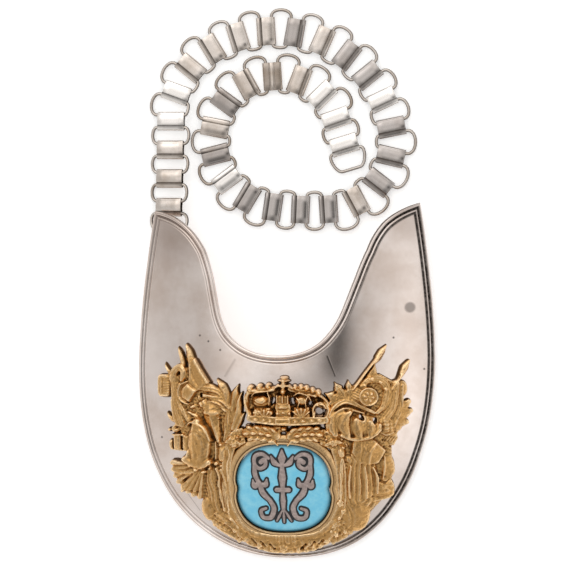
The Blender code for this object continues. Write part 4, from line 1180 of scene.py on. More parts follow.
LEFT_TROPHY: tuple[Element, ...] = (
    # ground between the forms
    Gear(2.6, ((-46, -3), (-50, -3), (-58, -10), (-59, -20), (-57, -33), (-48, -46), (-27, -46),
               (-24, -24), (-34, -14)), 1.4, 3),
    Gear(2.4, ((-50, -44), (-50, -60), (-43.5, -72), (-35, -84), (-26, -86), (-27, -60), (-26, -44)),
         1.4, 4),
    # spear blades and spike
    Ribbon(2.8, ((-55.0, 7.6), (-53.4, 3.5), (-51.8, -2.5)), (0.5, 2.8, 3.4, 3.0), RIDGE),
    Ribbon(3.6, ((-50.3, 9.3), (-48.7, 4.9), (-47.8, 0.5), (-47.4, -3.4)), (0.6, 4.2, 5.4, 3.0), RIDGE,
           tilt=0.2),
    Ribbon(2.4, ((-62.6, -0.8), (-61.6, -3.2), (-59.8, -6.0), (-57.0, -8.6)), (0.5, 1.9, 2.8, 2.6)),
    # banner with its hem, and the drape it turns into
    Facet(3.6, ((-45.4, 1.8), (-48.4, -1.5), (-48.6, -11.0), (-43.4, -15.8), (-37.0, -10.9)),
          ((0.0, 0.94), (1.4, 1.0), (4.0, 0.92))),
    Ribbon(4.0, ((-45.2, 1.2), (-41.6, -5.0), (-37.6, -11.0)), (1.2, 1.7, 1.7), edge=0.6),
    Ribbon(-0.5, ((-46.6, -2.0), (-45.6, -8.0), (-42.6, -13.0)), (0.7, 1.4, 0.8)),
    Ribbon(3.5, ((-43.8, -13.4), (-38.4, -13.6), (-33.0, -15.8), (-29.8, -18.6)), (4.0, 5.6, 5.0, 3.0),
           strands=3),
    Ribbon(4.1, ((-41.0, -17.4), (-36.0, -18.2), (-30.5, -20.2), (-26.8, -23.6)), (2.4, 3.6, 3.8, 2.6),
           strands=2),
    Ribbon(4.3, ((-37.4, -20.6), (-32.6, -21.8), (-28.4, -25.2)), (2.4, 3.2, 2.4), strands=1.5),
    # leaves beside the crown
    Ribbon(3.6, ((-33.4, -8.9), (-30.8, -12.6), (-28.8, -16.5), (-27.9, -21.4)), (0.8, 5.2, 5.2, 3.0),
           RIDGE),
    Ribbon(3.4, ((-21.8, -11.7), (-23.4, -15.4), (-24.2, -19.0), (-25.4, -25.0)), (0.7, 4.6, 5.4, 3.0),
           RIDGE),
    Ribbon(3.7, ((-19.9, -15.6), (-21.6, -20.0), (-22.6, -26.0), (-25.4, -34.5)), (0.8, 4.4, 6.2, 3.4),
           RIDGE),
    Ribbon(3.0, ((-18.9, -26.4), (-21.0, -30.0), (-23.6, -35.0)), (1.0, 3.6, 3.0), RIDGE),
    Ribbon(3.6, ((-27.2, -25.0), (-28.0, -32.0), (-29.6, -40.5)), (2.4, 7.0, 3.6), RIDGE, strands=3),
    # fluted box with its loop
    Mound(3.4, (-62.7, -13.0), (7.4, 12.4), power=5, dome=0.15),
    Ribbon(-1.1, ((-64.9, -9.2), (-64.9, -16.9)), (0.7, 0.7)),
    Ribbon(-1.1, ((-62.9, -9.2), (-62.9, -16.9)), (0.7, 0.7)),
    *row_of(stroke(-1.0, (2.8, -0.1), 0.6), (-62.0, -9.4), (-62.0, -17.2), 7),
    # plume, twisted cloth and small leaf
    Ribbon(4.2, ((-57.6, -9.6), (-56.6, -5.6), (-53.6, -3.4), (-51.4, -5.6), (-52.2, -9.8)),
           (4.2, 4.6, 4.6, 4.2, 3.0), strands=5),
    Ribbon(3.7, ((-57.2, -8.6), (-56.6, -15.0), (-56.2, -21.0), (-54.6, -27.0), (-52.8, -33.0)),
           (5.0, 4.8, 5.4, 5.8, 4.6), strands=5),
    Ribbon(3.9, ((-53.6, -12.0), (-54.4, -17.0), (-53.4, -22.6), (-50.0, -28.6), (-47.6, -31.8)),
           (2.2, 2.6, 3.8, 3.2), strands=3),
    Ribbon(3.2, ((-58.2, -20.4), (-57.6, -25.4), (-56.4, -30.6), (-54.6, -33.6)), (1.6, 2.6, 2.8, 1.8)),
    Ribbon(2.6, ((-61.5, -26.9), (-59.6, -29.8), (-55.6, -32.2)), (0.9, 3.6, 3.0), RIDGE),
    # kettledrum with its rim, and barrels
    Mound(4.3, (-49.6, -16.4), (8.4, 11.6), -25, dome=0.3),
    Facet(5.2, ((-48.5, -11.2), (-51.4, -14.0), (-51.4, -18.6), (-47.6, -21.6), (-43.2, -15.1)),
          ((0.0, 0.85), (1.2, 0.96), (3.0, 1.0)), edge=0.5),
    Ribbon(4.8, ((-49.0, -10.6), (-52.4, -12.4), (-53.6, -16.6), (-52.0, -20.6), (-48.4, -22.2)),
           (1.1, 1.2, 1.1), edge=0.4),
    Mound(4.4, (-40.6, -21.8), (6.2, 4.2), 32, power=4, dome=0.3, rings=3, cut=0.2),
    Mound(3.8, (-46.4, -23.6), (4.0, 2.6), 20, power=3, dome=0.4),
    Mound(THROUGH, (-41.7, -17.6), (1.6, 2.2)),
    # jug, and folds beside it
    Ribbon(5.0, ((-36.0, -24.6), (-35.6, -29.0), (-34.4, -34.0), (-32.2, -41.0)), (10.4, 9.0, 6.2, 3.0),
           RIDGE, tilt=-0.15),
    Mound(5.6, (-36.2, -26.4), (10.2, 4.6), -4, dome=0.5),
    Ribbon(-1.2, ((-31.4, -27.6), (-31.6, -33.0), (-30.6, -38.6)), (0.7, 0.9, 0.7)),
    Ribbon(3.8, ((-48.6, -26.2), (-44.6, -28.2), (-40.4, -31.6)), (1.8, 2.6, 1.8)),
    Ribbon(3.4, ((-47.6, -29.6), (-44.0, -29.4), (-40.0, -33.0)), (1.4, 1.8, 1.2)),
    Mound(5.4, (-31.9, -29.0), (1.9, 1.9)),
    # cuirass: body, shoulder, shallow flutes and beaded hem
    Ribbon(6.4, ((-43.4, -31.4), (-43.0, -37.0), (-42.9, -43.0), (-43.0, -49.6)),
           (6.5, 12.5, 13.4, 11.6), edge=1.6, strands=3, strand_depth=0.07, strand_wave=0.1),
    Mound(7.0, (-41.8, -36.8), (11.4, 11.0), 20, dome=0.45, edge=1.6),
    Ribbon(6.9, ((-49.0, -33.4), (-46.0, -31.2), (-41.6, -32.2), (-38.0, -35.6), (-36.2, -40.6)),
           (1.2, 2.2, 2.6, 1.8), edge=0.8),
    Ribbon(-0.5, ((-46.8, -36.4), (-43.6, -35.4), (-40.2, -38.2), (-39.0, -44.0)), (1.0, 1.8, 1.2)),
    Ribbon(-0.3, ((-44.4, -42.0), (-43.8, -48.0), (-44.4, -53.0)), (0.9, 1.8, 1.2)),
    Ribbon(6.0, ((-50.8, -50.8), (-46.8, -52.4), (-42.2, -53.4), (-37.8, -52.0)), (4.4, 6.4, 6.6, 4.6),
           edge=1.2),
    Ribbon(5.6, ((-48.6, -46.0), (-48.6, -49.0), (-49.8, -51.4)), (2.0, 4.4, 4.4), edge=1.2),
    Mound(4.6, (-51.0, -52.2), (3.4, 2.4), -24),
    Mound(5.6, (-48.2, -54.2), (3.8, 2.6), -30),
    Mound(6.3, (-44.8, -56.0), (4.0, 2.8), -22),
    Mound(6.4, (-40.6, -56.9), (4.4, 3.0), 0),
    Mound(5.6, (-37.3, -55.2), (2.2, 3.4)),
    # cartridge cylinders with their lids
    Mound(3.0, (-59.4, -43.8), (2.4, 5.6), power=4, dome=0.4),
    Mound(3.7, (-55.6, -42.4), (4.6, 9.4), power=5, dome=0.35),
    Mound(3.5, (-50.6, -42.8), (4.8, 9.0), power=5, dome=0.35),
    Ribbon(4.1, ((-58.2, -38.6), (-53.4, -38.4), (-49.4, -39.6)), (1.3, 1.3)),
    Ribbon(3.9, ((-59.6, -46.2), (-54.0, -46.8), (-48.6, -46.8)), (0.9, 0.9)),
    Mound(3.4, (-56.6, -36.2), (5.2, 3.2), -6, dome=0.5),
    Mound(3.0, (-60.1, -36.1), (2.5, 2.5)),
    Mound(4.4, (-52.0, -38.2), (3.0, 1.9), -20),
    Ribbon(2.9, ((-58.2, -35.2), (-55.6, -33.4), (-52.0, -34.0)), (1.6, 2.4, 2.0)),
    # skirt
    Fan(3.8, (-40.6, -53.5), (174.0, 264.0), (3.0, 19.4), 8, 1.2, 0.4),
    Ribbon(4.1, ((-57.6, -57.6), (-52.0, -58.0), (-46.6, -57.6)), (2.2, 3.2, 2.0)),
    Ribbon(4.0, ((-53.6, -68.0), (-49.8, -63.6), (-46.0, -59.6)), (2.6, 2.4, 1.6)),
    Ribbon(-0.9, ((-49.4, -60.4), (-52.4, -62.6)), (0.9, 1.5)),
    Ribbon(-0.6, ((-49.6, -67.4), (-46.4, -68.8), (-43.8, -67.4)), (0.8, 1.2, 0.8)),
    Ribbon(-0.6, ((-54.6, -57.0), (-51.6, -57.6)), (0.8, 1.4, 0.6)),
    # smooth lobes and folds beside the frame
    Mound(4.2, (-31.2, -47.6), (5.4, 10.6), -5, power=2.4, dome=0.5),
    Mound(4.8, (-31.4, -42.8), (3.6, 2.8)),
    Mound(4.4, (-34.4, -52.8), (3.6, 3.4)),
    Mound(4.0, (-31.8, -54.0), (3.6, 1.9), 10),
    Ribbon(4.4, ((-34.3, -41.6), (-34.0, -46.0), (-34.4, -50.6)), (1.0, 1.5, 1.1)),
    Ribbon(3.4, ((-28.2, -43.6), (-27.2, -48.5), (-28.6, -54.0), (-28.4, -62.0)), (1.2, 2.0, 1.8)),
    Ribbon(3.4, ((-37.4, -56.0), (-38.0, -63.0), (-36.8, -71.0), (-34.6, -78.0)), (4.6, 6.4, 6.0, 4.0),
           strands=3),
    Ribbon(4.2, ((-34.5, -55.4), (-33.0, -60.0), (-33.2, -66.0), (-32.0, -72.0), (-31.0, -77.5)),
           (2.0, 2.4, 2.6, 2.2), strands=2),
    Ribbon(3.8, ((-32.0, -56.4), (-30.4, -61.0), (-30.0, -67.0), (-29.4, -73.0), (-28.6, -78.0)),
           (2.6, 3.2, 3.0, 2.0), strands=2),
    Ribbon(-1.4, ((-33.6, -65.4), (-33.4, -69.6)), (0.8, 0.8)),
    # paddle, tassel and gear along the lower edge
    Mound(4.2, (-40.1, -77.6), (7.8, 13.6), 8, dome=0.45),
    Mound(4.0, (-30.9, -77.0), (3.6, 3.4), grooves=2),
    Mound(4.0, (-27.8, -82.4), (2.8, 2.2), -20),
    Ribbon(3.9, ((-35.8, -79.4), (-30.4, -83.6), (-25.4, -88.6)), (2.6, 3.4, 2.6), strands=2),
    Ribbon(3.6, ((-37.4, -83.8), (-31.6, -88.2), (-26.0, -92.2)), (2.8, 3.6, 2.6), strands=2),
    Gear(3.4, ((-30.4, -75.4), (-36.8, -79.6), (-38.8, -86.4), (-27.0, -94.0), (-23.0, -87.0)), 2.6, 8),
    Gear(3.2, ((-25.5, -83.5), (-33.0, -80.0), (-36.4, -84.0), (-34.0, -89.6), (-24.0, -96.0),
               (-19.8, -92.6)), 2.2, 7),
    Disc(4.2, (-26.2, -88.4), (3.0, 3.0), petals=5, petal_from=0.3),
    Disc(4.2, (-30.4, -84.2), (2.4, 2.4), petals=4, petal_from=0.3),
)

RIGHT_TROPHY: tuple[Element, ...] = (
    Gear(2.7, ((50, -6), (43, -8), (30, -16), (24, -24), (25, -34), (31, -44), (56, -44), (61, -32),
               (62, -18), (57, -10)), 1.4, 5),
    Gear(2.4, ((56, -44), (31, -42), (28, -56), (28, -72), (27, -86), (36, -88), (52, -71), (56, -60)),
         1.4, 6),
    # spears with their poles and pennant
    Ribbon(3.4, ((53.4, 8.8), (50.7, 4.6), (48.6, 1.0), (46.9, -1.2)), (0.7, 4.0, 4.2, 1.6), RIDGE,
           tilt=-0.2),
    Ribbon(3.8, ((47.7, 1.0), (43.0, -5.2), (38.4, -11.6), (36.2, -14.4)), (1.6, 1.6, 1.8)),
    Facet(2.3, ((47.8, -0.4), (40.0, -11.2), (49.2, -7.0)), ((0.0, 0.9), (2.0, 1.1))),
    Ribbon(3.4, ((64.5, 0.5), (62.4, -3.4), (60.7, -7.0), (59.2, -9.8)), (1.6, 4.4, 3.6, 1.6), RIDGE,
           tilt=-0.2),
    Ribbon(3.9, ((60.0, -8.0), (57.4, -11.4), (55.4, -14.4)), (1.4, 1.7, 1.6)),
    # oak leaves
    Ribbon(3.0, ((22.6, -16.4), (26.6, -18.0), (33.6, -20.6)), (1.4, 6.6, 6.0, 3.6), LEAF, 3, 0.3),
    Ribbon(3.3, ((27.4, -10.6), (30.0, -15.0), (33.6, -20.6)), (1.0, 6.2, 6.6, 3.4), LEAF, 3, 0.3),
    Ribbon(3.6, ((34.2, -9.6), (34.6, -13.8), (35.6, -19.6)), (1.0, 4.8, 4.4, 3.0), LEAF, 3, 0.3),
    Ribbon(3.0, ((38.0, -11.4), (37.8, -14.0), (37.0, -17.4)), (1.2, 3.6, 3.0), LEAF, 2, 0.2),
    Ribbon(2.8, ((23.4, -22.4), (26.0, -21.0), (30.0, -20.0)), (1.2, 4.4, 3.0), LEAF, 2, 0.2),
    Mound(4.0, (34.3, -18.9), (1.5, 1.5)),
    # drum with its rosette, the plume round it
    Ribbon(4.0, ((40.8, -12.4), (43.6, -9.8), (48.0, -9.0), (52.2, -12.0), (53.4, -17.0), (51.6, -22.6),
                 (48.4, -26.0)), (3.4, 4.6, 5.4, 5.6, 5.4, 4.6, 3.4), strands=5),
    Mound(4.6, (45.4, -8.8), (3.4, 2.6), 20),
    Mound(4.7, (49.6, -10.6), (3.0, 2.6), -30),
    Mound(4.6, (52.4, -14.2), (2.8, 3.0), 10),
    Mound(4.5, (42.2, -12.2), (3.0, 2.4), -40),
    Mound(4.9, (39.0, -17.6), (7.2, 9.0), -28, power=2.6, dome=0.35, grooves=7, cut=0.24),
    Disc(5.8, (43.6, -17.8), (10.2, 10.2), 0.0,
         ((0, 0.88), (0.62, 0.84), (0.74, 0.78), (0.86, 0.98), (1.0, 0.84))),
    Disc(6.5, (43.6, -17.8), (6.6, 6.6), 20.0, ((0, 0.86), (0.25, 0.86), (0.4, 1.0), (1.0, 0.84)), 6,
         0.34, 0.2),
    Mound(6.6, (43.6, -17.8), (1.6, 1.6)),
    # scalloped contour and folds
    Mound(2.9, (60.8, -14.0), (6.2, 9.0), power=2.4, dome=0.4),
    Ribbon(2.9, ((58.0, -27.0), (61.0, -24.0), (64.2, -20.8)), (4.0, 6.6, 3.2), LEAF),
    Ribbon(3.1, ((57.0, -28.4), (61.4, -27.6), (65.2, -25.6)), (4.0, 6.0, 3.0), LEAF),
    Ribbon(3.0, ((56.6, -31.0), (60.4, -31.6), (63.0, -31.4)), (4.0, 6.0, 3.4), LEAF),
    Mound(2.8, (58.6, -34.4), (5.4, 4.2), 30, dome=0.4),
    Ribbon(4.1, ((57.6, -11.4), (56.8, -18.0), (54.8, -24.6), (51.8, -30.4)), (4.4, 5.6, 6.2, 4.8),
           strands=5, tilt=0.15),
    Ribbon(3.6, ((60.4, -12.4), (60.0, -20.0), (58.5, -26.4), (56.4, -33.4)), (2.4, 3.4, 3.6, 2.8),
           strands=2, tilt=0.2),
    # scroll, lens and leaf below the oak
    Ribbon(4.6, ((24.2, -28.0), (26.4, -23.4), (31.0, -20.9), (35.4, -21.0), (40.6, -22.9),
                 (46.6, -26.2)), (2.6, 3.8, 3.8, 3.4, 2.6), strands=2.5),
    Ribbon(4.9, ((27.4, -25.9), (31.2, -23.9), (35.6, -24.2), (41.6, -26.2)), (1.6, 2.4, 2.4, 1.8),
           strands=1),
    # folded petals and the round body under them, with its gaps
    Mound(4.8, (40.4, -33.2), (18.0, 12.6), power=2.6, dome=0.45),
    Ribbon(5.0, ((27.2, -36.6), (25.6, -32.6), (27.6, -28.2), (31.0, -25.8)), (5.0, 7.4, 7.0, 4.0),
           strands=2, strand_depth=0.14),
    Ribbon(5.8, ((33.4, -37.8), (31.4, -32.6), (32.4, -27.8), (34.6, -25.6)), (4.6, 8.0, 7.4, 4.0),
           edge=1.4),
    Ribbon(5.5, ((39.0, -38.8), (38.0, -34.4), (37.4, -30.0)), (5.0, 8.0, 5.0), tilt=-0.1, edge=1.4),
    Ribbon(5.4, ((44.4, -38.2), (45.2, -34.4), (44.6, -31.0)), (5.0, 7.2, 4.6), tilt=0.08, edge=1.4),
    Ribbon(5.0, ((47.4, -37.0), (48.6, -34.6), (49.2, -32.2)), (3.4, 4.0, 2.6)),
    Ribbon(5.5, ((30.0, -37.4), (34.4, -39.2), (39.6, -39.6), (45.0, -38.2), (49.2, -34.8)),
           (2.4, 3.0, 3.0, 2.4)),
    Mound(THROUGH, (40.4, -28.6), (1.8, 2.8), 25),
    Mound(THROUGH, (47.1, -30.2), (1.9, 2.7), -10),
    # small barrel, comb and its tail
    Mound(4.8, (52.8, -33.2), (8.2, 9.6), 8, power=2.5, dome=0.5, grooves=5, cut=0.12),
    Ribbon(-0.8, ((50.9, -30.0), (50.7, -36.4)), (0.9, 0.9)),
    Ribbon(-0.8, ((54.0, -30.2), (54.0, -36.4)), (0.9, 0.9)),
    Ribbon(4.4, ((49.6, -36.6), (52.6, -37.8), (56.2, -36.6)), (1.0, 1.3, 1.0)),
    Facet(2.8, ((53.6, -37.0), (49.6, -38.0), (53.6, -41.8), (56.8, -44.0), (59.0, -40.0),
                (58.4, -36.6)), ((0.0, 0.9), (2.0, 1.0))),
    *row_of(stroke(-2.0, (1.8, 2.6), 0.6), (50.8, -41.0), (57.6, -42.0), 6),
    # faceted shield and knob
    Facet(5.2, ((46.6, -39.4), (35.6, -40.0), (34.4, -46.6), (38.4, -52.6), (44.0, -53.6),
                (48.6, -52.8), (52.8, -45.6)),
                ((0.0, 0.74), (1.0, 0.86), (1.8, 0.84), (4.0, 0.96), (7.0, 1.06)), edge=1.2),
    Ribbon(5.6, ((47.6, -41.4), (44.4, -46.6), (43.6, -51.6)), (1.4, 3.4, 1.4), tilt=-0.2),
    Ribbon(-0.5, ((40.6, -41.6), (40.4, -46.0), (39.4, -51.0)), (1.0, 1.8, 1.0)),
    Mound(4.6, (30.2, -46.8), (5.6, 7.6), 10, dome=0.7),
    Mound(5.4, (31.0, -43.7), (3.6, 2.3), -20),
    Mound(3.6, (34.0, -50.8), (5.0, 4.4), -30, rings=2),
    Ribbon(4.6, ((34.9, -47.6), (36.6, -50.4), (38.4, -52.4)), (0.9, 1.2, 0.9)),
    Mound(3.8, (32.8, -42.6), (1.6, 5.0), 20),
    # folded drape, its lobes and the roll
    Ribbon(4.2, ((40.4, -52.0), (40.0, -62.0), (39.8, -70.8)), (15.0, 17.6, 17.4), strands=6,
           strand_depth=0.24, strand_wave=0.1),
    Ribbon(4.4, ((34.6, -53.6), (33.4, -62.0), (33.6, -70.0)), (1.6, 2.4, 2.2), tilt=0.2),
    Ribbon(4.7, ((41.6, -54.2), (42.4, -61.0), (42.2, -70.0)), (2.0, 3.4, 2.8), tilt=-0.2),
    Ribbon(4.5, ((45.6, -54.6), (47.4, -60.0), (47.2, -67.8)), (1.8, 3.0, 2.2), tilt=0.2),
    Ribbon(4.0, ((30.6, -50.6), (30.0, -58.0), (29.6, -66.0), (29.2, -71.4)), (3.0, 3.4, 3.2, 2.4),
           strands=2),
    Mound(3.1, (53.4, -54.4), (7.8, 12.0), 6, power=2.6, dome=0.4),
    Ribbon(3.7, ((51.6, -49.0), (51.4, -55.0), (50.6, -60.6)), (1.5, 2.2, 1.6)),
    Mound(3.9, (50.4, -66.2), (13.2, 12.4), 10, power=2.6, dome=0.45, grooves=5, cut=0.1),
    Ribbon(-1.3, ((48.6, -61.4), (51.6, -62.8), (53.8, -61.4)), (0.9, 1.4, 0.9)),
    Ribbon(4.1, ((49.2, -66.4), (51.6, -65.4), (53.6, -66.8)), (1.0, 1.6, 1.0)),
    Ribbon(-0.9, ((44.0, -69.9), (49.0, -70.3), (54.0, -68.9)), (0.7, 0.9, 0.7)),
    Ribbon(3.4, ((41.4, -71.6), (47.6, -72.0), (54.0, -70.6)), (1.2, 1.7, 1.2)),
    # disc, knot and gear along the lower edge
    Mound(4.6, (37.0, -79.6), (14.6, 19.2), -12, power=2.2, dome=0.5),
    Ribbon(-0.5, ((32.6, -74.6), (34.6, -80.0), (34.0, -86.0)), (1.0, 2.2, 1.2)),
    Disc(4.2, (29.0, -73.2), (4.6, 4.6), petals=5, petal_from=0.25),
    Disc(3.9, (30.4, -77.8), (3.8, 3.8), 10.0, petals=4, petal_from=0.25),
    Mound(3.6, (28.2, -81.4), (4.0, 3.0), 40),
    Gear(3.4, ((33.0, -82.6), (26.0, -81.6), (20.6, -92.6), (24.4, -96.2), (31.0, -92.8),
               (35.4, -89.6)), 2.1, 9),
    Disc(4.4, (26.2, -89.8), (3.6, 3.6), petals=5, petal_from=0.3),
    Disc(4.2, (30.8, -88.4), (3.0, 3.0), petals=5, petal_from=0.3),
)

FRAME_RELIEF: tuple[Element, ...] = (
    *laurel((-2.6, -38.0), (-21.6, -37.0), 1.2, 4),
    *laurel((4.8, -38.2), (23.0, -37.6), 1.2, 4),
    Mound(5.0, (1.4, -34.3), (4.4, 2.9), dome=0.6),
    Ribbon(4.0, ((-4.4, -40.4), (-1.7, -42.8)), (2.2, 1.8), edge=0.6),
    Ribbon(4.0, ((5.4, -40.4), (3.1, -43.0)), (2.2, 1.8), edge=0.6),
    # rosettes at the ends of the bundles, over a rough ground
    Ribbon(2.7, ((-25.6, -40.0), (-28.8, -52.0), (-29.6, -66.0), (-28.2, -77.0), (-22.4, -88.0)),
           (6.4, 6.0, 5.6, 6.0), FLAT),
    Ribbon(2.7, ((26.2, -40.0), (29.4, -52.0), (30.2, -66.0), (28.8, -77.0), (23.0, -88.0)),
           (6.4, 6.0, 5.6, 6.0), FLAT),
    Ribbon(3.0, ((-24.6, -83.0), (-17.6, -89.4), (-9.0, -91.6), (0.2, -92.0), (9.4, -91.6),
                 (18.0, -89.4), (25.0, -83.0)), (3.4, 4.4, 4.4, 3.4), FLAT, edge=1.2),
    Gear(3.2, ((-20.0, -33.6), (-25.0, -35.0), (-30.4, -40.0), (-29.6, -46.0), (-24.0, -45.6),
               (-18.0, -42.2)), 1.8, 31),
    Gear(3.2, ((32.2, -39.6), (27.0, -36.0), (20.4, -33.8), (19.0, -42.6), (25.6, -45.8),
               (31.0, -46.0)), 1.8, 32),
    Gear(3.0, ((3.6, -32.6), (-13.0, -32.6), (-15.0, -36.4), (3.0, -36.4)), 1.8, 33),
    Ribbon(4.6, ((-29.4, -41.6), (-25.2, -40.6), (-20.8, -42.2)), (1.6, 4.6, 4.4, 1.6), LEAF, 3, 0.3),
    Mound(5.2, (-22.4, -38.7), (2.4, 1.9), -30),
    Mound(4.8, (-26.4, -39.4), (3.4, 2.4), 40),
    Disc(4.9, (-24.6, -42.4), (4.6, 4.2), petals=5),
    Ribbon(4.6, ((31.0, -41.4), (26.4, -40.8), (21.8, -42.8)), (1.6, 4.6, 4.4, 1.6), LEAF, 3, 0.3),
    Disc(4.9, (26.2, -41.6), (4.8, 4.2), petals=5),
    Mound(4.6, (22.6, -39.6), (3.0, 2.0), 30),
    # rocks and rosettes below, with small gaps
    Ribbon(2.9, ((-24.0, -90.4), (-13.0, -94.6), (0.0, -95.8), (13.0, -94.6), (24.0, -90.0)),
           (5.0, 6.4, 6.6, 6.4, 5.0)),
    Gear(3.5, ((22.0, -92.2), (-21.0, -92.2), (-24.0, -94.0), (-16.0, -98.4), (-6.0, -101.0),
               (7.0, -100.8), (16.0, -99.0), (25.0, -94.0)), 3.2, 11),
    *(
        Disc(rise, at, size, turn, petals=petals, petal_from=0.25)
        for rise, at, size, turn, petals in (
            (4.2, (-0.8, -97.2), (5.4, 4.6), 0.0, 6), (4.0, (12.9, -95.6), (4.4, 4.0), 15.0, 5),
            (4.0, (-13.4, -95.8), (4.4, 3.8), 10.0, 5), (3.8, (-20.0, -93.0), (3.2, 3.2), 0.0, 4),
            (3.8, (20.2, -93.4), (3.6, 3.0), 0.0, 5), (3.7, (-7.0, -98.0), (3.4, 2.8), 0.0, 4),
            (3.7, (6.6, -98.0), (3.6, 2.8), 20.0, 4),
        )
    ),
    *row_of(stroke(3.9, (0.2, -3.4), 1.0), (-4.4, -91.4), (5.2, -91.4), 7),
    *row_of(stroke(-1.4, (2.4, -2.6), 1.2), (-17.6, -92.8), (-8.0, -95.6), 3),
    *row_of(stroke(-1.4, (-2.4, -2.4), 1.2), (10.6, -95.4), (19.8, -92.8), 3),
    Mound(THROUGH, (-16.2, -98.2), (1.2, 0.9)),
    Mound(THROUGH, (8.4, -100.6), (2.0, 0.8)),
)

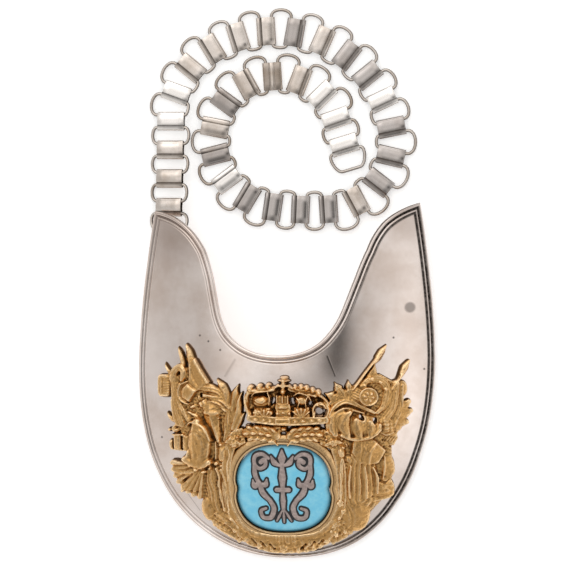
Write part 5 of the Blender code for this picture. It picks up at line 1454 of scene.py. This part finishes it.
CROWN: tuple[Element, ...] = (
    # ground behind the arches, with its openings
    Gear(3.0, ((22.0, -19.0), (12.0, -13.4), (2.0, -12.0), (-9.0, -12.8), (-16.4, -15.6),
               (-16.6, -28.6), (21.6, -29.6)), 1.7, 41),
    Mound(THROUGH, (-4.4, -20.0), (2.6, 4.2), -20),
    Mound(THROUGH, (6.3, -20.2), (2.4, 3.8), 15),
    Mound(THROUGH, (14.9, -20.4), (2.2, 4.2), 10),
    Mound(THROUGH, (-15.6, -25.6), (2.2, 3.2), 10),
    Mound(THROUGH, (19.6, -25.4), (4.0, 3.6), -35),
    # finial and orb
    Mound(7.6, (2.0, -8.1), (4.8, 2.2), power=2.4, dome=0.5),
    Mound(6.8, (1.8, -9.6), (7.2, 1.7), power=2.6, dome=0.5),
    Ribbon(7.0, ((1.7, -9.4), (1.6, -12.6)), (2.6, 3.2)),
    Ribbon(6.6, ((-2.6, -13.2), (-0.6, -12.0), (1.6, -12.4), (3.8, -12.0), (6.0, -13.2)),
           (1.6, 2.2, 2.2, 2.2, 1.6)),
    Mound(8.2, (1.5, -14.8), (4.4, 4.6), dome=0.7),
    # centre column: bars, arc and smooth base
    Facet(5.0, ((4.8, -16.4), (-2.4, -16.4), (-3.2, -24.2), (5.8, -24.2)), ((0.0, 0.9), (1.5, 1.0))),
    Ribbon(6.8, ((-1.6, -16.8), (-1.5, -20.4)), (1.5, 1.5)),
    Ribbon(7.0, ((1.2, -17.2), (1.2, -20.6)), (1.6, 1.6)),
    Ribbon(6.8, ((3.9, -16.8), (3.8, -20.4)), (1.5, 1.5)),
    Ribbon(6.4, ((-2.0, -20.8), (1.1, -21.7), (4.4, -20.8)), (1.1, 1.4, 1.1)),
    Mound(6.4, (1.2, -22.9), (8.0, 3.0), power=2.8, dome=0.4),
    # left arch with its upper ribbon and smooth lobe
    Ribbon(5.6, ((-15.6, -26.8), (-17.3, -22.6), (-17.2, -17.6), (-15.0, -14.6)), (3.2, 3.2, 3.4),
           strands=1),
    Ribbon(6.2, ((-16.0, -15.4), (-10.4, -14.6), (-3.0, -13.6)), (3.4, 3.6, 3.0), strands=1.5),
    Ribbon(6.9, ((-14.6, -17.6), (-12.4, -15.6), (-7.0, -14.8), (-2.8, -14.6)), (1.0, 1.5, 1.4, 1.0)),
    Mound(6.9, (-9.8, -19.8), (10.4, 7.4), power=2.3, dome=0.65),
    Ribbon(6.6, ((-6.2, -15.6), (-5.2, -18.2), (-5.6, -21.8)), (1.4, 2.0, 1.4)),
    Ribbon(-1.0, ((-13.6, -20.0), (-9.6, -21.6), (-6.0, -20.0)), (0.6, 1.0, 0.6)),
    # right arch
    Ribbon(6.0, ((4.8, -13.6), (10.8, -14.8), (17.4, -17.0)), (3.4, 4.0, 3.8), strands=2),
    Ribbon(6.6, ((6.6, -17.0), (9.4, -15.6), (13.6, -17.0), (15.4, -19.6)), (1.2, 1.8, 1.6, 1.2)),
    Mound(6.6, (10.8, -19.4), (8.2, 6.6), power=2.3, dome=0.6),
    Ribbon(7.0, ((8.0, -17.8), (9.4, -20.0), (8.8, -22.4)), (1.1, 1.7, 1.1)),
    Ribbon(7.0, ((13.6, -17.4), (12.6, -20.0), (12.8, -22.4)), (1.1, 1.7, 1.1)),
    # curled ring at the right
    Ribbon(5.8, ((17.0, -16.8), (20.6, -17.8), (23.0, -20.6), (24.0, -24.4), (22.8, -28.4)),
           (2.4, 2.6, 2.8, 2.6, 2.4), strands=1),
    Ribbon(6.2, ((16.6, -27.0), (16.6, -23.4), (18.4, -21.2), (21.6, -21.4), (22.6, -23.6)),
           (2.4, 2.8, 3.0, 2.6, 1.8), strands=1.5),
    Mound(6.6, (18.6, -21.8), (2.6, 2.2), 20),
    Mound(6.4, (21.8, -22.4), (2.0, 2.4)),
    # row of leaves over the band
    Facet(5.2, ((-4.6, -22.8), (-13.6, -22.8), (-14.4, -28.4), (-4.4, -28.4)),
          ((0.0, 0.9), (2.0, 1.0))),
    Disc(6.6, (-12.0, -25.6), (4.2, 4.4), petals=5, petal_from=0.25),
    Fan(6.5, (-8.0, -28.6), (40.0, 140.0), (0.5, 5.4), 3, 0.8, 0.4),
    Mound(6.4, (-4.6, -25.8), (3.2, 3.6), 10, grooves=2),
    Facet(5.2, ((5.6, -23.2), (-2.6, -23.2), (-3.0, -28.4), (6.2, -28.4)), ((0.0, 0.9), (2.0, 1.0))),
    Mound(6.6, (-1.4, -26.0), (3.2, 3.2)),
    Mound(6.8, (1.5, -25.6), (3.8, 3.0), grooves=1),
    Mound(6.6, (4.6, -26.0), (3.0, 3.2)),
    Facet(5.2, ((14.8, -22.4), (6.6, -22.4), (5.8, -28.4), (15.4, -28.4)), ((0.0, 0.9), (2.0, 1.0))),
    Fan(6.7, (10.4, -29.0), (36.0, 144.0), (0.6, 6.6), 5, 1.0, 0.4),
    # band with its tablet and rough beads
    Ribbon(5.4, ((-15.4, -28.6), (2.0, -30.0), (22.4, -29.4)), (4.4, 5.2, 4.4), FLAT),
    Ribbon(6.2, ((-14.8, -27.4), (1.4, -28.0), (21.6, -28.0)), (1.4, 1.6, 1.4)),
    Ribbon(6.0, ((-14.8, -30.6), (1.4, -32.0), (21.6, -31.2)), (1.2, 1.5, 1.2)),
    Facet(6.8, ((5.2, -28.2), (-3.0, -28.2), (-3.0, -32.0), (5.2, -32.0)),
          ((0.0, 0.9), (0.6, 1.0), (1.1, 0.88))),
    *(
        Mound(rise, (x, y), (length, 2.4), turn, dome=0.5)
        for rise, x, y, length, turn in (
            (6.5, -12.6, -29.0, 4.6, -6.0), (6.4, -8.4, -29.4, 3.4, 10.0),
            (6.5, -5.0, -29.8, 3.2, -10.0),
            (6.4, 7.4, -30.0, 3.4, 8.0), (6.6, 11.4, -29.7, 4.2, -8.0), (6.4, 15.6, -29.6, 3.6, 6.0),
            (6.5, 19.4, -29.4, 3.8, -4.0),
        )
    ),
    # pearls
    *(
        Disc(7.4, at, (size, size), 0.0, ((0, 1.0), (0.5, 0.88), (0.8, 0.66), (1.0, 0.5)), edge=0.4)
        for at, size in (
            ((-15.2, -13.6), 4.0), ((-10.4, -12.9), 4.0), ((-6.0, -12.4), 3.8), ((7.4, -12.8), 3.2),
            ((10.4, -12.8), 3.4), ((13.2, -13.3), 3.4), ((16.2, -14.4), 3.6), ((19.0, -15.6), 3.8),
        )
    ),
)


@dataclass
class Relief:
    """One gilt casting soldered to the plate."""

    name: str
    node: str
    elements: tuple[Element, ...]
    cell: float = 0.28

    def build(self) -> bpy.types.Object:
        """The casting as one closed piece."""
        mesh = Casting(self.elements, self.cell).mesh()
        return add_piece(self.name, mesh, GILT.material(), [self.node])


# ---------------------------------------------------------------- medallion


@dataclass
class Medallion:
    """The enamel plaque, its smooth gilt frame and its ornament."""

    at: Plan = (0.2, -65.8)
    half: Plan = (24.8, 23.3)
    power: float = 2.5
    notch: float = 1.0  # how far the outline is drawn in at each side
    notch_reach: float = 0.12  # share of the half height over which it is drawn in
    around: int = 288
    rows: int = 40
    edge_rise: float = 2.2
    dome: float = 1.5
    rounding: Plan = (0.5, 0.8)  # how far the enamel falls at its edge, and over which distance
    gap: float = PIECE_GAP
    # the frame's section: distance out from the plaque's edge, then rise
    section: tuple[Plan, ...] = (
        (0.0, 0.3), (0.0, 2.3), (0.1, 2.75), (0.35, 2.98), (0.7, 3.0), (1.0, 2.85), (1.2, 2.55),
        (1.45, 2.35), (1.9, 2.42), (2.6, 2.5), (3.4, 2.38), (4.1, 2.05), (4.7, 1.6), (5.0, 1.2),
        (5.05, 0.6), (5.05, -0.4),
    )
    step_at: float = 1.3  # the section's step, darkened with painted shade, out from the plaque's edge
    crest_at: float = 0.5  # its crest, painted lighter as worn and as a highlight
    outline: float = 0.8  # width of the ornament's black edge
    lined: float = 0.35
    raised: float = 0.95
    # the ornament's strokes, from the enamel's middle: widths, then a path for the right side
    scroll_strokes: tuple = (
        ((2.8, 2.3, 2.1, 2.4, 2.3, 1.9), (
            (10.8, 14.4), (8.9, 15.6), (8.6, 12.6), (11.6, 11.0), (14.2, 13.4), (13.8, 17.2),
            (10.2, 18.4), (6.9, 16.4))),
        ((2.1, 2.8, 2.3), ((14.2, 13.8), (14.0, 8.0), (11.6, 2.6))),
        ((2.0, 3.4, 0.9), ((11.8, 4.0), (14.4, 2.0), (15.2, 5.0))),
        ((2.0, 3.2, 0.9), ((11.4, 3.0), (8.8, 2.8), (8.0, 5.6))),
        ((2.8, 3.2, 2.4), ((11.4, 2.2), (10.2, -1.6), (6.8, -5.4))),
        ((2.4, 2.9, 2.7, 2.3, 1.6), ((6.8, -5.2), (4.9, -9.6), (6.6, -14.6), (10.6, -14.8),
                                     (11.6, -11.2), (9.0, -9.8))),
    )
    middle_strokes: tuple = (
        ((1.6, 4.6, 1.2), ((0.0, 12.6), (0.0, 16.4), (0.0, 20.4))),
        ((1.4, 3.2, 1.0), ((-0.8, 12.6), (-3.8, 14.2), (-5.6, 17.4))),
        ((1.4, 3.2, 1.0), ((0.8, 12.6), (3.8, 14.2), (5.6, 17.4))),
        ((2.2, 4.0, 2.1), ((0.0, 12.6), (0.0, 7.0), (0.0, 0.4))),
        ((2.6, 2.6), ((-3.0, 0.2), (3.0, 0.2))),
        ((2.0, 3.0, 2.0), ((0.0, -0.6), (0.0, -5.6), (0.0, -10.6))),
        ((0.9, 1.5, 0.9), ((0.0, -11.0), (0.0, -14.0), (0.0, -17.4))),
        ((0.9, 1.5, 0.9), ((-0.8, -11.0), (-2.2, -13.6), (-3.8, -16.6))),
        ((0.9, 1.5, 0.9), ((0.8, -11.0), (2.2, -13.6), (3.8, -16.6))),
    )

    def edge(self, offset: float) -> Array:
        """The outline moved out by the offset: a superellipse, drawn in a little at its sides."""
        angle = np.linspace(0, 2 * math.pi, self.around, endpoint=False)
        c, s = np.cos(angle), np.sin(angle)
        reach = (np.abs(c) ** self.power + np.abs(s) ** self.power) ** (-1 / self.power)
        pinch = self.notch * np.exp(-((s / self.notch_reach) ** 2)) * np.sign(c)
        x = self.at[0] + c * reach * (self.half[0] + offset) - pinch
        y = self.at[1] + s * reach * (self.half[1] + offset)
        return np.column_stack([x, y])

    def lift(self, x: Array, y: Array) -> Array:
        """Rise of the enamel: its edge's, and a parabola up to its middle."""
        across = (x - self.at[0]) / self.half[0]
        along = (y - self.at[1]) / self.half[1]
        return self.edge_rise + self.dome * (1 - np.minimum(1, across**2 + along**2))

    def build_plaque(self) -> bpy.types.Object:
        """The enamel: rings that shrink from its rounded edge to its middle, over a flat back."""
        inset = self.gap
        shares = np.concatenate([np.linspace(1, 0.94, 8), np.linspace(0.92, 0, self.rows)])
        outline = self.edge(-inset)
        centre = np.array(self.at)
        plan = centre + (outline - centre) * shares[:, None, None]
        rise = self.lift(plan[..., 0], plan[..., 1])
        depth = (1 - shares) * self.half[1]
        fall, over = self.rounding
        rise = rise - fall * np.exp(-((depth / over) ** 2))[:, None]
        bottom = centre + (outline - centre) * np.array([0.0, 0.5, 1.0])[:, None, None]
        places = np.vstack([FORM.on(bottom, np.full(bottom.shape[:2], self.gap)), FORM.on(plan, rise)])
        # painted shadow of the frame, darkest at the enamel's edge and on its sides
        edge = np.exp(-((depth / 1.4) ** 2)) * 0.8
        marks = {"edge": np.repeat(np.concatenate([np.ones(3), edge]), self.around)}
        mesh = Mesh(places.reshape(-1, 3), grid_faces(len(places), self.around, ring=True), marks)
        return add_piece("enamel_plaque", mesh, ENAMEL.material(), ["enamel_medallion"],
                         WELD)

    def build_frame(self) -> bpy.types.Object:
        """The frame's moulding carried round the outline, with the cast work above and below."""
        rings = [FORM.on(self.edge(out), np.full(self.around, rise)) for out, rise in self.section]
        ring = Mesh(np.vstack(rings), grid_faces(len(rings), self.around, ring=True, tube=True))
        out = np.array([place[0] for place in self.section])
        # painted shade at the step, against the enamel and on the outer wall
        hollow = np.exp(-(((out - self.step_at) / 0.3) ** 2))
        hollow = hollow + np.exp(-((out / 0.15) ** 2)) + (out > 4.9)
        ring.marks["hollow"] = np.repeat(np.clip(hollow, 0, 1), self.around)
        ring.marks["level"] = np.full(len(ring.places), 3.0)
        # painted highlight and wear along the moulding's crest
        crest = 0.4 + 0.5 * np.exp(-(((out - self.crest_at) / 0.4) ** 2))
        ring.marks["crest"] = np.repeat(crest, self.around)
        cast = Casting(FRAME_RELIEF).mesh()
        whole = ring.joined(cast)
        return add_piece("medallion_frame", whole, GILT.material(), ["cartouche_frame"])

    def scrolls(self) -> list[Element]:
        """A pair of leafy scrolls that mirror each other, a baluster with a palmette between
        them and a shell below. Each stroke lies on a wider, lower one, which is its outline."""
        cx, cy = self.at
        made: list[Element] = []
        strokes: list[tuple[tuple[Plan, ...], tuple[float, ...]]] = []
        for side in (-1, 1):
            for widths, path in self.scroll_strokes:
                strokes.append((tuple((cx + side * x, cy + y) for x, y in path), widths))
        for widths, path in self.middle_strokes:
            strokes.append((tuple((cx + x, cy + y) for x, y in path), widths))
        for path, widths in strokes:
            wider = tuple(width + 2 * self.outline for width in widths)
            made.append(Ribbon(self.lined, path, wider, FLAT, edge=0.2))
        for path, widths in strokes:
            made.append(Ribbon(self.raised, path, widths, ROUND, edge=0.5))
        made += [Mound(-0.5, (cx + side * 12.6, cy + 15.6), (1.4, 1.4)) for side in (-1, 1)]
        return made

    def build_ornament(self) -> bpy.types.Object:
        """The applied ornament, which follows the enamel's dome."""
        mesh = Casting(self.scrolls(), cell=0.2, lift=self.lift, uneven=0.0, soft=0.12).mesh()
        return add_piece("medallion_sprays", mesh, GREY.material(),
                         ["medallion_ornament"])

    def build(self) -> list[bpy.types.Object]:
        """All three pieces."""
        return [self.build_plaque(), self.build_frame(), self.build_ornament()]


# ---------------------------------------------------------------- chain


@dataclass(frozen=True)
class Stretch:
    """A run of the chain in which each link turns by the same angle."""

    links: int
    turn: float  # degrees, clockwise turns are negative
    pitch: float = 15.25


@dataclass
class NeckChain:
    """Sleeve-shaped clips, each carrying the ring before it, laid out in a spiral."""

    start: Plan = (-62.9, 81.1)
    heading: float = 88.9
    span: float = 14.6  # of a clip, across the chain
    length: float = 10.1  # along it
    depth: float = 3.2
    wall: float = 0.3
    barrel: float = 1.2  # radius of the rolled sides
    bow: float = 0.45  # how much the front falls from its middle to its sides
    back: tuple[Plan, ...] = ((0.0, -1.4), (0.7, -1.4), (0.95, -1.2), (1.2, -1.5), (2.05, -1.6))
    barrel_drop: float = 0.05  # of the rolled sides' middles below the clip's
    barrel_lap: float = 0.3  # half width of the painted shade along the ledge
    ledge_at: float = 2.0
    ledge_width: float = 0.15
    ledge_drop: float = 0.07  # of the ledge below the barrel's top
    groove: float = 0.22  # half width of the soil along the ledge
    lip: float = 0.14  # of the rounding at a clip's open ends
    ledge_swaps: int = 9  # clips before the ledge changes sides
    turned_over: int = 27  # the clip that lies with its back up
    # the clips painted lighter with a highlight, and those painted darker with shade, in place of their
    # reflections
    highlit: tuple[int, ...] = (4, 5, 14, 23, 30, 31, 32)
    shaded: tuple[int, ...] = (10, 12, 13, 15, 16, 17, 19, 20, 21, 22, 24, 26)
    # how far a clip's colour is painted towards the highlight, and towards the shade
    shine: float = 0.8
    dulling: float = 0.55
    tints: float = 0.2  # the most that a clip is tinted at random
    late_links: int = 4  # clips before the turned one that are tinted more, as those after it are
    late_tint: float = 0.15  # how much more
    wire: float = 1.7
    seat: float = 3.2  # from a clip's middle to the wire that it holds
    run_past: float = 0.1  # of a ring's straight sides beyond the clip
    handle: float = 3.6  # of a ring's rounded ends, where the chain runs straight
    slide: float = 1.0  # how much the handles grow for each millimetre more between the ends
    least: float = 1.6  # the shortest handles, inside a bend
    free_side: float = 9.2
    end_reach: float = 13.4
    lean: tuple[float, ...] = (17.0, 13.6, 10.2, 6.8, 3.4)
    staple_at: Plan = (-65.0, 68.7)
    staple_hang: float = 3.6
    anchor_lean: float = 10.0
    lay: tuple[Stretch, ...] = (
        Stretch(3, 0.0), Stretch(3, -19.2), Stretch(8, -13.8), Stretch(4, -24.3),
        Stretch(2, -6.1, 14.9), Stretch(3, -22.6, 14.5), Stretch(7, -25.0, 14.5),
        Stretch(1, -2.3, 14.5),
    )

    def poses(self) -> list[Matrix]:
        """Where each clip lies: its middle, with X along the chain and Z up out of the clip."""
        heading = self.heading
        place = Vector(self.start)
        steps = [(run.turn, run.pitch) for run in self.lay for _ in range(run.links)]
        made = []
        for i, (turn, pitch) in enumerate([*steps, (0.0, 0.0)]):
            lean = math.radians(self.lean[i]) if i < len(self.lean) else 0.0
            height = self.span / 2 * math.sin(lean) + self.depth / 2 * math.cos(lean)
            where = Matrix.Translation((*place, height))
            turned = Matrix.Rotation(math.radians(heading), 4, "Z") @ Matrix.Rotation(-lean, 4, "X")
            made.append(where @ turned)
            ahead = math.radians(heading + turn / 2)
            place = place + Vector((math.cos(ahead), math.sin(ahead))) * pitch
            heading += turn
        return made

    def anchor(self, first: Matrix) -> Matrix:
        """Where a clip before the first one would be, if the chain went on towards its staple."""
        hang = Vector(FORM.on(np.array([self.staple_at]),
                              -(PLATE_THICKNESS + PIECE_GAP + self.staple_hang))[0])
        towards = (hang - first.translation).normalized()
        pose = Matrix.Rotation(math.radians(self.anchor_lean), 4, towards) @ first
        pose.translation = hang + towards * self.seat
        return pose

    def ring_path(self, near: Matrix, far: Matrix, far_side: float, steps: int = 12) -> Array:
        """The wire's centre line round a ring: straight in both clips and rounded between their
        ends. Each arc is a cubic. Its handles grow with the distance between its ends, because a
        ring in a bend slides outwards."""
        slide = self.slide if far_side == self.span else 0.0
        straight_gap = self.lay[0].pitch - 2 * self.seat
        sides = []
        for pose, seat, run in ((near, self.seat, self.span), (far, -self.seat, far_side)):
            half = run / 2 + self.run_past
            sides.append([np.array(pose @ Vector((seat, end * half, 0))) for end in (1, -1)])
        arcs = []
        t = np.linspace(0, 1, steps + 1)
        for end, first, last in ((0, 0, 1), (1, 1, 0)):
            a, d = sides[first][end], sides[last][end]
            reach = max(self.least, self.handle + slide * (np.linalg.norm(d - a) - straight_gap))
            out = [np.array(pose.col[1].xyz) * (1 - 2 * end) for pose in (near, far)]
            arcs.append(bezier((a, a + out[first] * reach, d + out[last] * reach, d), t))
            straight = np.linspace(0, 1, 10)[1:-1, None]
            arcs.append(d + (sides[last][1 - end] - d) * straight)
        return np.vstack(arcs)

    def ring(self, near: Matrix, far: Matrix, far_side: float | None = None) -> Mesh:
        """A closed round wire along that path."""
        path = self.ring_path(near, far, far_side or self.span)
        up = np.array((near.col[2].xyz + far.col[2].xyz).normalized())
        return wire_mesh(path, self.wire / 2, up)

    def section(self, ledge: int) -> tuple[Array, Array]:
        """The sleeve's outer and inner outlines across X and Z: two rolled barrels with a bowed
        front between them, which stops short of one barrel at a ledge, and the same moved in by
        the wall."""
        at = self.length / 2 - self.barrel
        angle = np.linspace(-90, 88, 14) * math.pi / 180
        halves = []
        for side in (1, -1):
            end = self.ledge_at if side == ledge else at - self.barrel_lap
            rolled = np.column_stack([at + self.barrel * np.cos(angle),
                                      self.barrel * np.sin(angle) - self.barrel_drop])
            shelf = [(end + self.ledge_width, self.barrel - self.ledge_drop)]
            x = np.linspace(end, 0, 16)
            front = np.column_stack([x, self.depth / 2 - self.bow * (x / at) ** 2])
            halves.append(np.vstack([self.back, rolled, shelf, front]) * (side, 1))
        outer = np.vstack([halves[0], halves[1][1:-1][::-1]])
        step = np.roll(outer, -1, axis=0) - np.roll(outer, 1, axis=0)
        step /= np.linalg.norm(step, axis=1, keepdims=True)
        inner = outer + np.column_stack([-step[:, 1], step[:, 0]]) * self.wall
        return outer, inner

    def sleeve(self, pose: Matrix, ledge: int) -> Mesh:
        """The clip: its section carried across the chain, with rounded lips at both ends."""
        outer, inner = self.section(ledge)
        half = self.span / 2
        lip, turned_in = inner * 0.6 + outer * 0.4, outer * 0.7 + inner * 0.3
        rows = [(inner, 0.0), (inner, 0.97 * half), (lip, half), (turned_in, half)]
        rows += [(outer, half - self.lip), (outer, half * 0.5), (outer, 0.0)]
        rows += [(outer, -half * 0.5), (outer, self.lip - half)]
        rows += [(turned_in, -half), (lip, -half), (inner, -0.97 * half)]
        # painted shade along the ledge's groove, on the rolled ends, all over the inside and on the
        # back's flanks
        from_ledge = outer[:, 0] * ledge - self.ledge_at - self.ledge_width
        groove = np.exp(-((from_ledge / self.groove) ** 2)) * (outer[:, 1] > 0.6)
        rolled = np.clip((np.abs(outer[:, 0]) - self.length / 2 + 0.6) / 0.6, 0, 1)
        bow = np.where(outer[:, 1] > 0.9, -((outer[:, 0] / self.length * 2) ** 2), -1.0)
        flanks = (outer[:, 1] < -1.0) * np.clip((np.abs(outer[:, 0]) - 0.7) / 0.2, 0, 0.3)
        loops, soil_and_shade = [], []
        for line, y in rows:
            loops.append(np.column_stack([line[:, 0], np.full(len(line), y), line[:, 1]]))
            inside = 1.0 if line is inner else 0.0
            soil_and_shade.append(np.clip(groove * 0.8 + rolled * 0.35 + inside + flanks, 0, 1))
        places = np.vstack(loops)
        turned = places @ np.array(pose.to_3x3()).T + np.array(pose.translation)
        faces = grid_faces(len(rows), len(outer), ring=True, tube=True)
        return Mesh(turned, faces, {"soil_and_shade": np.concatenate(soil_and_shade), "bow": np.tile(bow, len(rows))})

    def build(self) -> list[bpy.types.Object]:
        """Every link and the free ring at the end."""
        poses = self.poses()
        rng = np.random.default_rng(12)
        made = []
        before = self.anchor(poses[0])
        for i, pose in enumerate(poses):
            face = pose @ Matrix.Rotation(math.pi, 4, "Y") if i == self.turned_over else pose
            sleeve = self.sleeve(face, -1 if i < self.ledge_swaps else 1)
            # painted highlight for some whole clips, painted shade for others
            shine = self.shine * (i + 1 in self.highlit) - self.dulling * (i + 1 in self.shaded)
            sleeve.marks["shine"] = np.full(len(sleeve.places), shine)
            link = sleeve.joined(self.ring(before, pose))
            late = self.late_tint if i >= self.turned_over - self.late_links else 0.0
            tint = rng.uniform(0, self.tints) + late
            link.marks["tint"] = np.full(len(link.places), tint)
            made.append(
                add_piece(f"link_{i + 1:02d}", link, CHAIN.material(),
                          [f"chain_link_{i + 1:02d}"])
            )
            before = pose
        beyond = poses[-1] @ Matrix.Translation((self.end_reach + self.seat, 0, 0))
        ring = self.ring(poses[-1], beyond, self.free_side)
        made.append(add_piece("end_ring", ring, CHAIN.material(), ["chain_end_ring"]))
        return made


def wire_mesh(path: Array, radius: float, up: Array, sides: int = 12) -> Mesh:
    """A closed round wire: circles square to the path, which lies about square to the up direction."""
    along = np.roll(path, -1, axis=0) - np.roll(path, 1, axis=0)
    along /= np.linalg.norm(along, axis=1, keepdims=True)
    side = np.cross(up, along)
    side /= np.linalg.norm(side, axis=1, keepdims=True)
    top = np.cross(along, side)
    angle = np.linspace(0, 2 * math.pi, sides, endpoint=False)[None, :, None]
    places = path[:, None, :] + radius * (
        side[:, None, :] * np.cos(angle) + top[:, None, :] * np.sin(angle)
    )
    faces = grid_faces(len(path), sides, ring=True, tube=True)
    # painted shade down both sides of the wire
    soil_and_shade = np.broadcast_to(np.abs(np.cos(angle[0, :, 0])) ** 1.7, (len(path), sides))
    return Mesh(places.reshape(-1, 3), faces, {"soil_and_shade": soil_and_shade.reshape(-1)})


# ---------------------------------------------------------------- studio


@dataclass(frozen=True)
class Softbox:
    """A bright or dark patch of the studio: a bell round a direction."""

    azimuth: float  # degrees from +X
    polar: float  # degrees from straight up
    spread: float  # degrees
    strength: float


@dataclass
class Studio:
    """Floor, soft light from all round, and the camera."""

    level: float = 0.66
    patches: tuple[Softbox, ...] = (
        Softbox(180, 27, 7, 0.30),
        Softbox(180, 3, 6, 0.28),
        Softbox(180, 48, 7, -0.08),
        Softbox(180, 66, 8, -0.08),
        Softbox(0, 22, 6.5, -0.60),
        Softbox(0, 55, 11, 0.17),
        Softbox(-8, 66, 9, 0.30),
        Softbox(-150, 74, 16, 0.14),
        Softbox(180, 12, 9, 0.16),
        Softbox(-25, 57, 11, 0.38),
        Softbox(90, 62, 13, 1.5),
        Softbox(75, 26, 11, 0.6),
        Softbox(132, 42, 11, 1.1),
        Softbox(-90, 24, 11, -0.45),
    )
    target: tuple = (-1.025, -0.91, 0.0)
    tilt: float = 6.5
    distance: float = 1300.0
    lens: float = 154.9

    def build_world(self) -> None:
        """Sky by direction: an even level and bells of the angle from each patch's middle."""
        world = bpy.data.worlds.new("studio")
        world.use_nodes = True
        bpy.context.scene.world = world
        graph = Graph(world.node_tree)
        toward = graph.node("ShaderNodeTexCoord", {}, {}, "Generated")
        total = graph.dot(toward, (0.0, 0.0, 0.0)) + self.level
        for patch in self.patches:
            azimuth, polar = math.radians(patch.azimuth), math.radians(patch.polar)
            middle = (
                math.sin(polar) * math.cos(azimuth), math.sin(polar) * math.sin(azimuth),
                math.cos(polar)
            )
            narrow = 1 / math.radians(patch.spread) ** 2
            bell = (graph.dot(toward, middle) - 1.0) * narrow
            bell = graph.node("ShaderNodeMath", {"operation": "EXPONENT"}, {0: bell})
            total = total + bell * patch.strength
        shader = graph.node("ShaderNodeBackground", {},
                            {"Color": (1.0, 0.985, 0.965, 1.0), "Strength": total})
        graph.node("ShaderNodeOutputWorld", {}, {"Surface": shader})

    def build_floor(self) -> bpy.types.Object:
        """A wide pale floor."""
        reach = 1.5
        data = bpy.data.meshes.new("floor")
        corners = [(-reach, -reach, 0), (reach, -reach, 0), (reach, reach, 0), (-reach, reach, 0)]
        data.from_pydata(corners, [], [(0, 1, 2, 3)])
        data.materials.append(FLOOR.material())
        floor = bpy.data.objects.new("floor", data)
        bpy.context.scene.collection.objects.link(floor)
        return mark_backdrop(floor)

    def build_camera(self) -> None:
        """The camera looks down along its own -Z, with +Y of the model up in the picture."""
        tilt = math.radians(self.tilt)
        back = Vector((math.sin(tilt), 0.0, math.cos(tilt)))
        right = Vector((math.cos(tilt), 0.0, -math.sin(tilt)))
        turned = Matrix((right, Vector((0.0, 1.0, 0.0)), back)).transposed()
        camera = bpy.data.objects.new("camera", bpy.data.cameras.new("camera"))
        place = (Vector(self.target) + back * self.distance) * MM
        camera.matrix_world = Matrix.Translation(place) @ turned.to_4x4()
        camera.data.lens = self.lens
        camera.data.clip_end = 20.0
        bpy.context.scene.collection.objects.link(camera)
        bpy.context.scene.camera = camera

    def build(self) -> None:
        """Everything of the studio."""
        bpy.context.scene.view_settings.view_transform = "Standard"
        self.build_world()
        self.build_floor()
        self.build_camera()


@dataclass
class Fasteners:
    """The staple that holds the chain and the hook for its free ring, under the horns."""

    def build(self) -> None:
        """Both keep the model's own shape and take the chain's metal."""
        for name in ("chain_staple", "chain_hook"):
            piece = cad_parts.get(name)
            if piece:
                piece.data.materials.clear()
                piece.data.materials.append(CHAIN.material())
                LOG.info("%s: kept", name)


def main() -> None:
    """Builds the studio and every sub-assembly in order."""
    logging.basicConfig(level=logging.INFO, format="%(message)s")
    Studio().build()
    GorgetPlate().build()
    Relief("left_trophy", "trophy_left", LEFT_TROPHY).build()
    Relief("right_trophy", "trophy_right", RIGHT_TROPHY).build()
    Relief("crown_relief", "crown", CROWN, cell=0.22).build()
    Medallion().build()
    NeckChain().build()
    Fasteners().build()


if __name__ == "__main__":
    main()
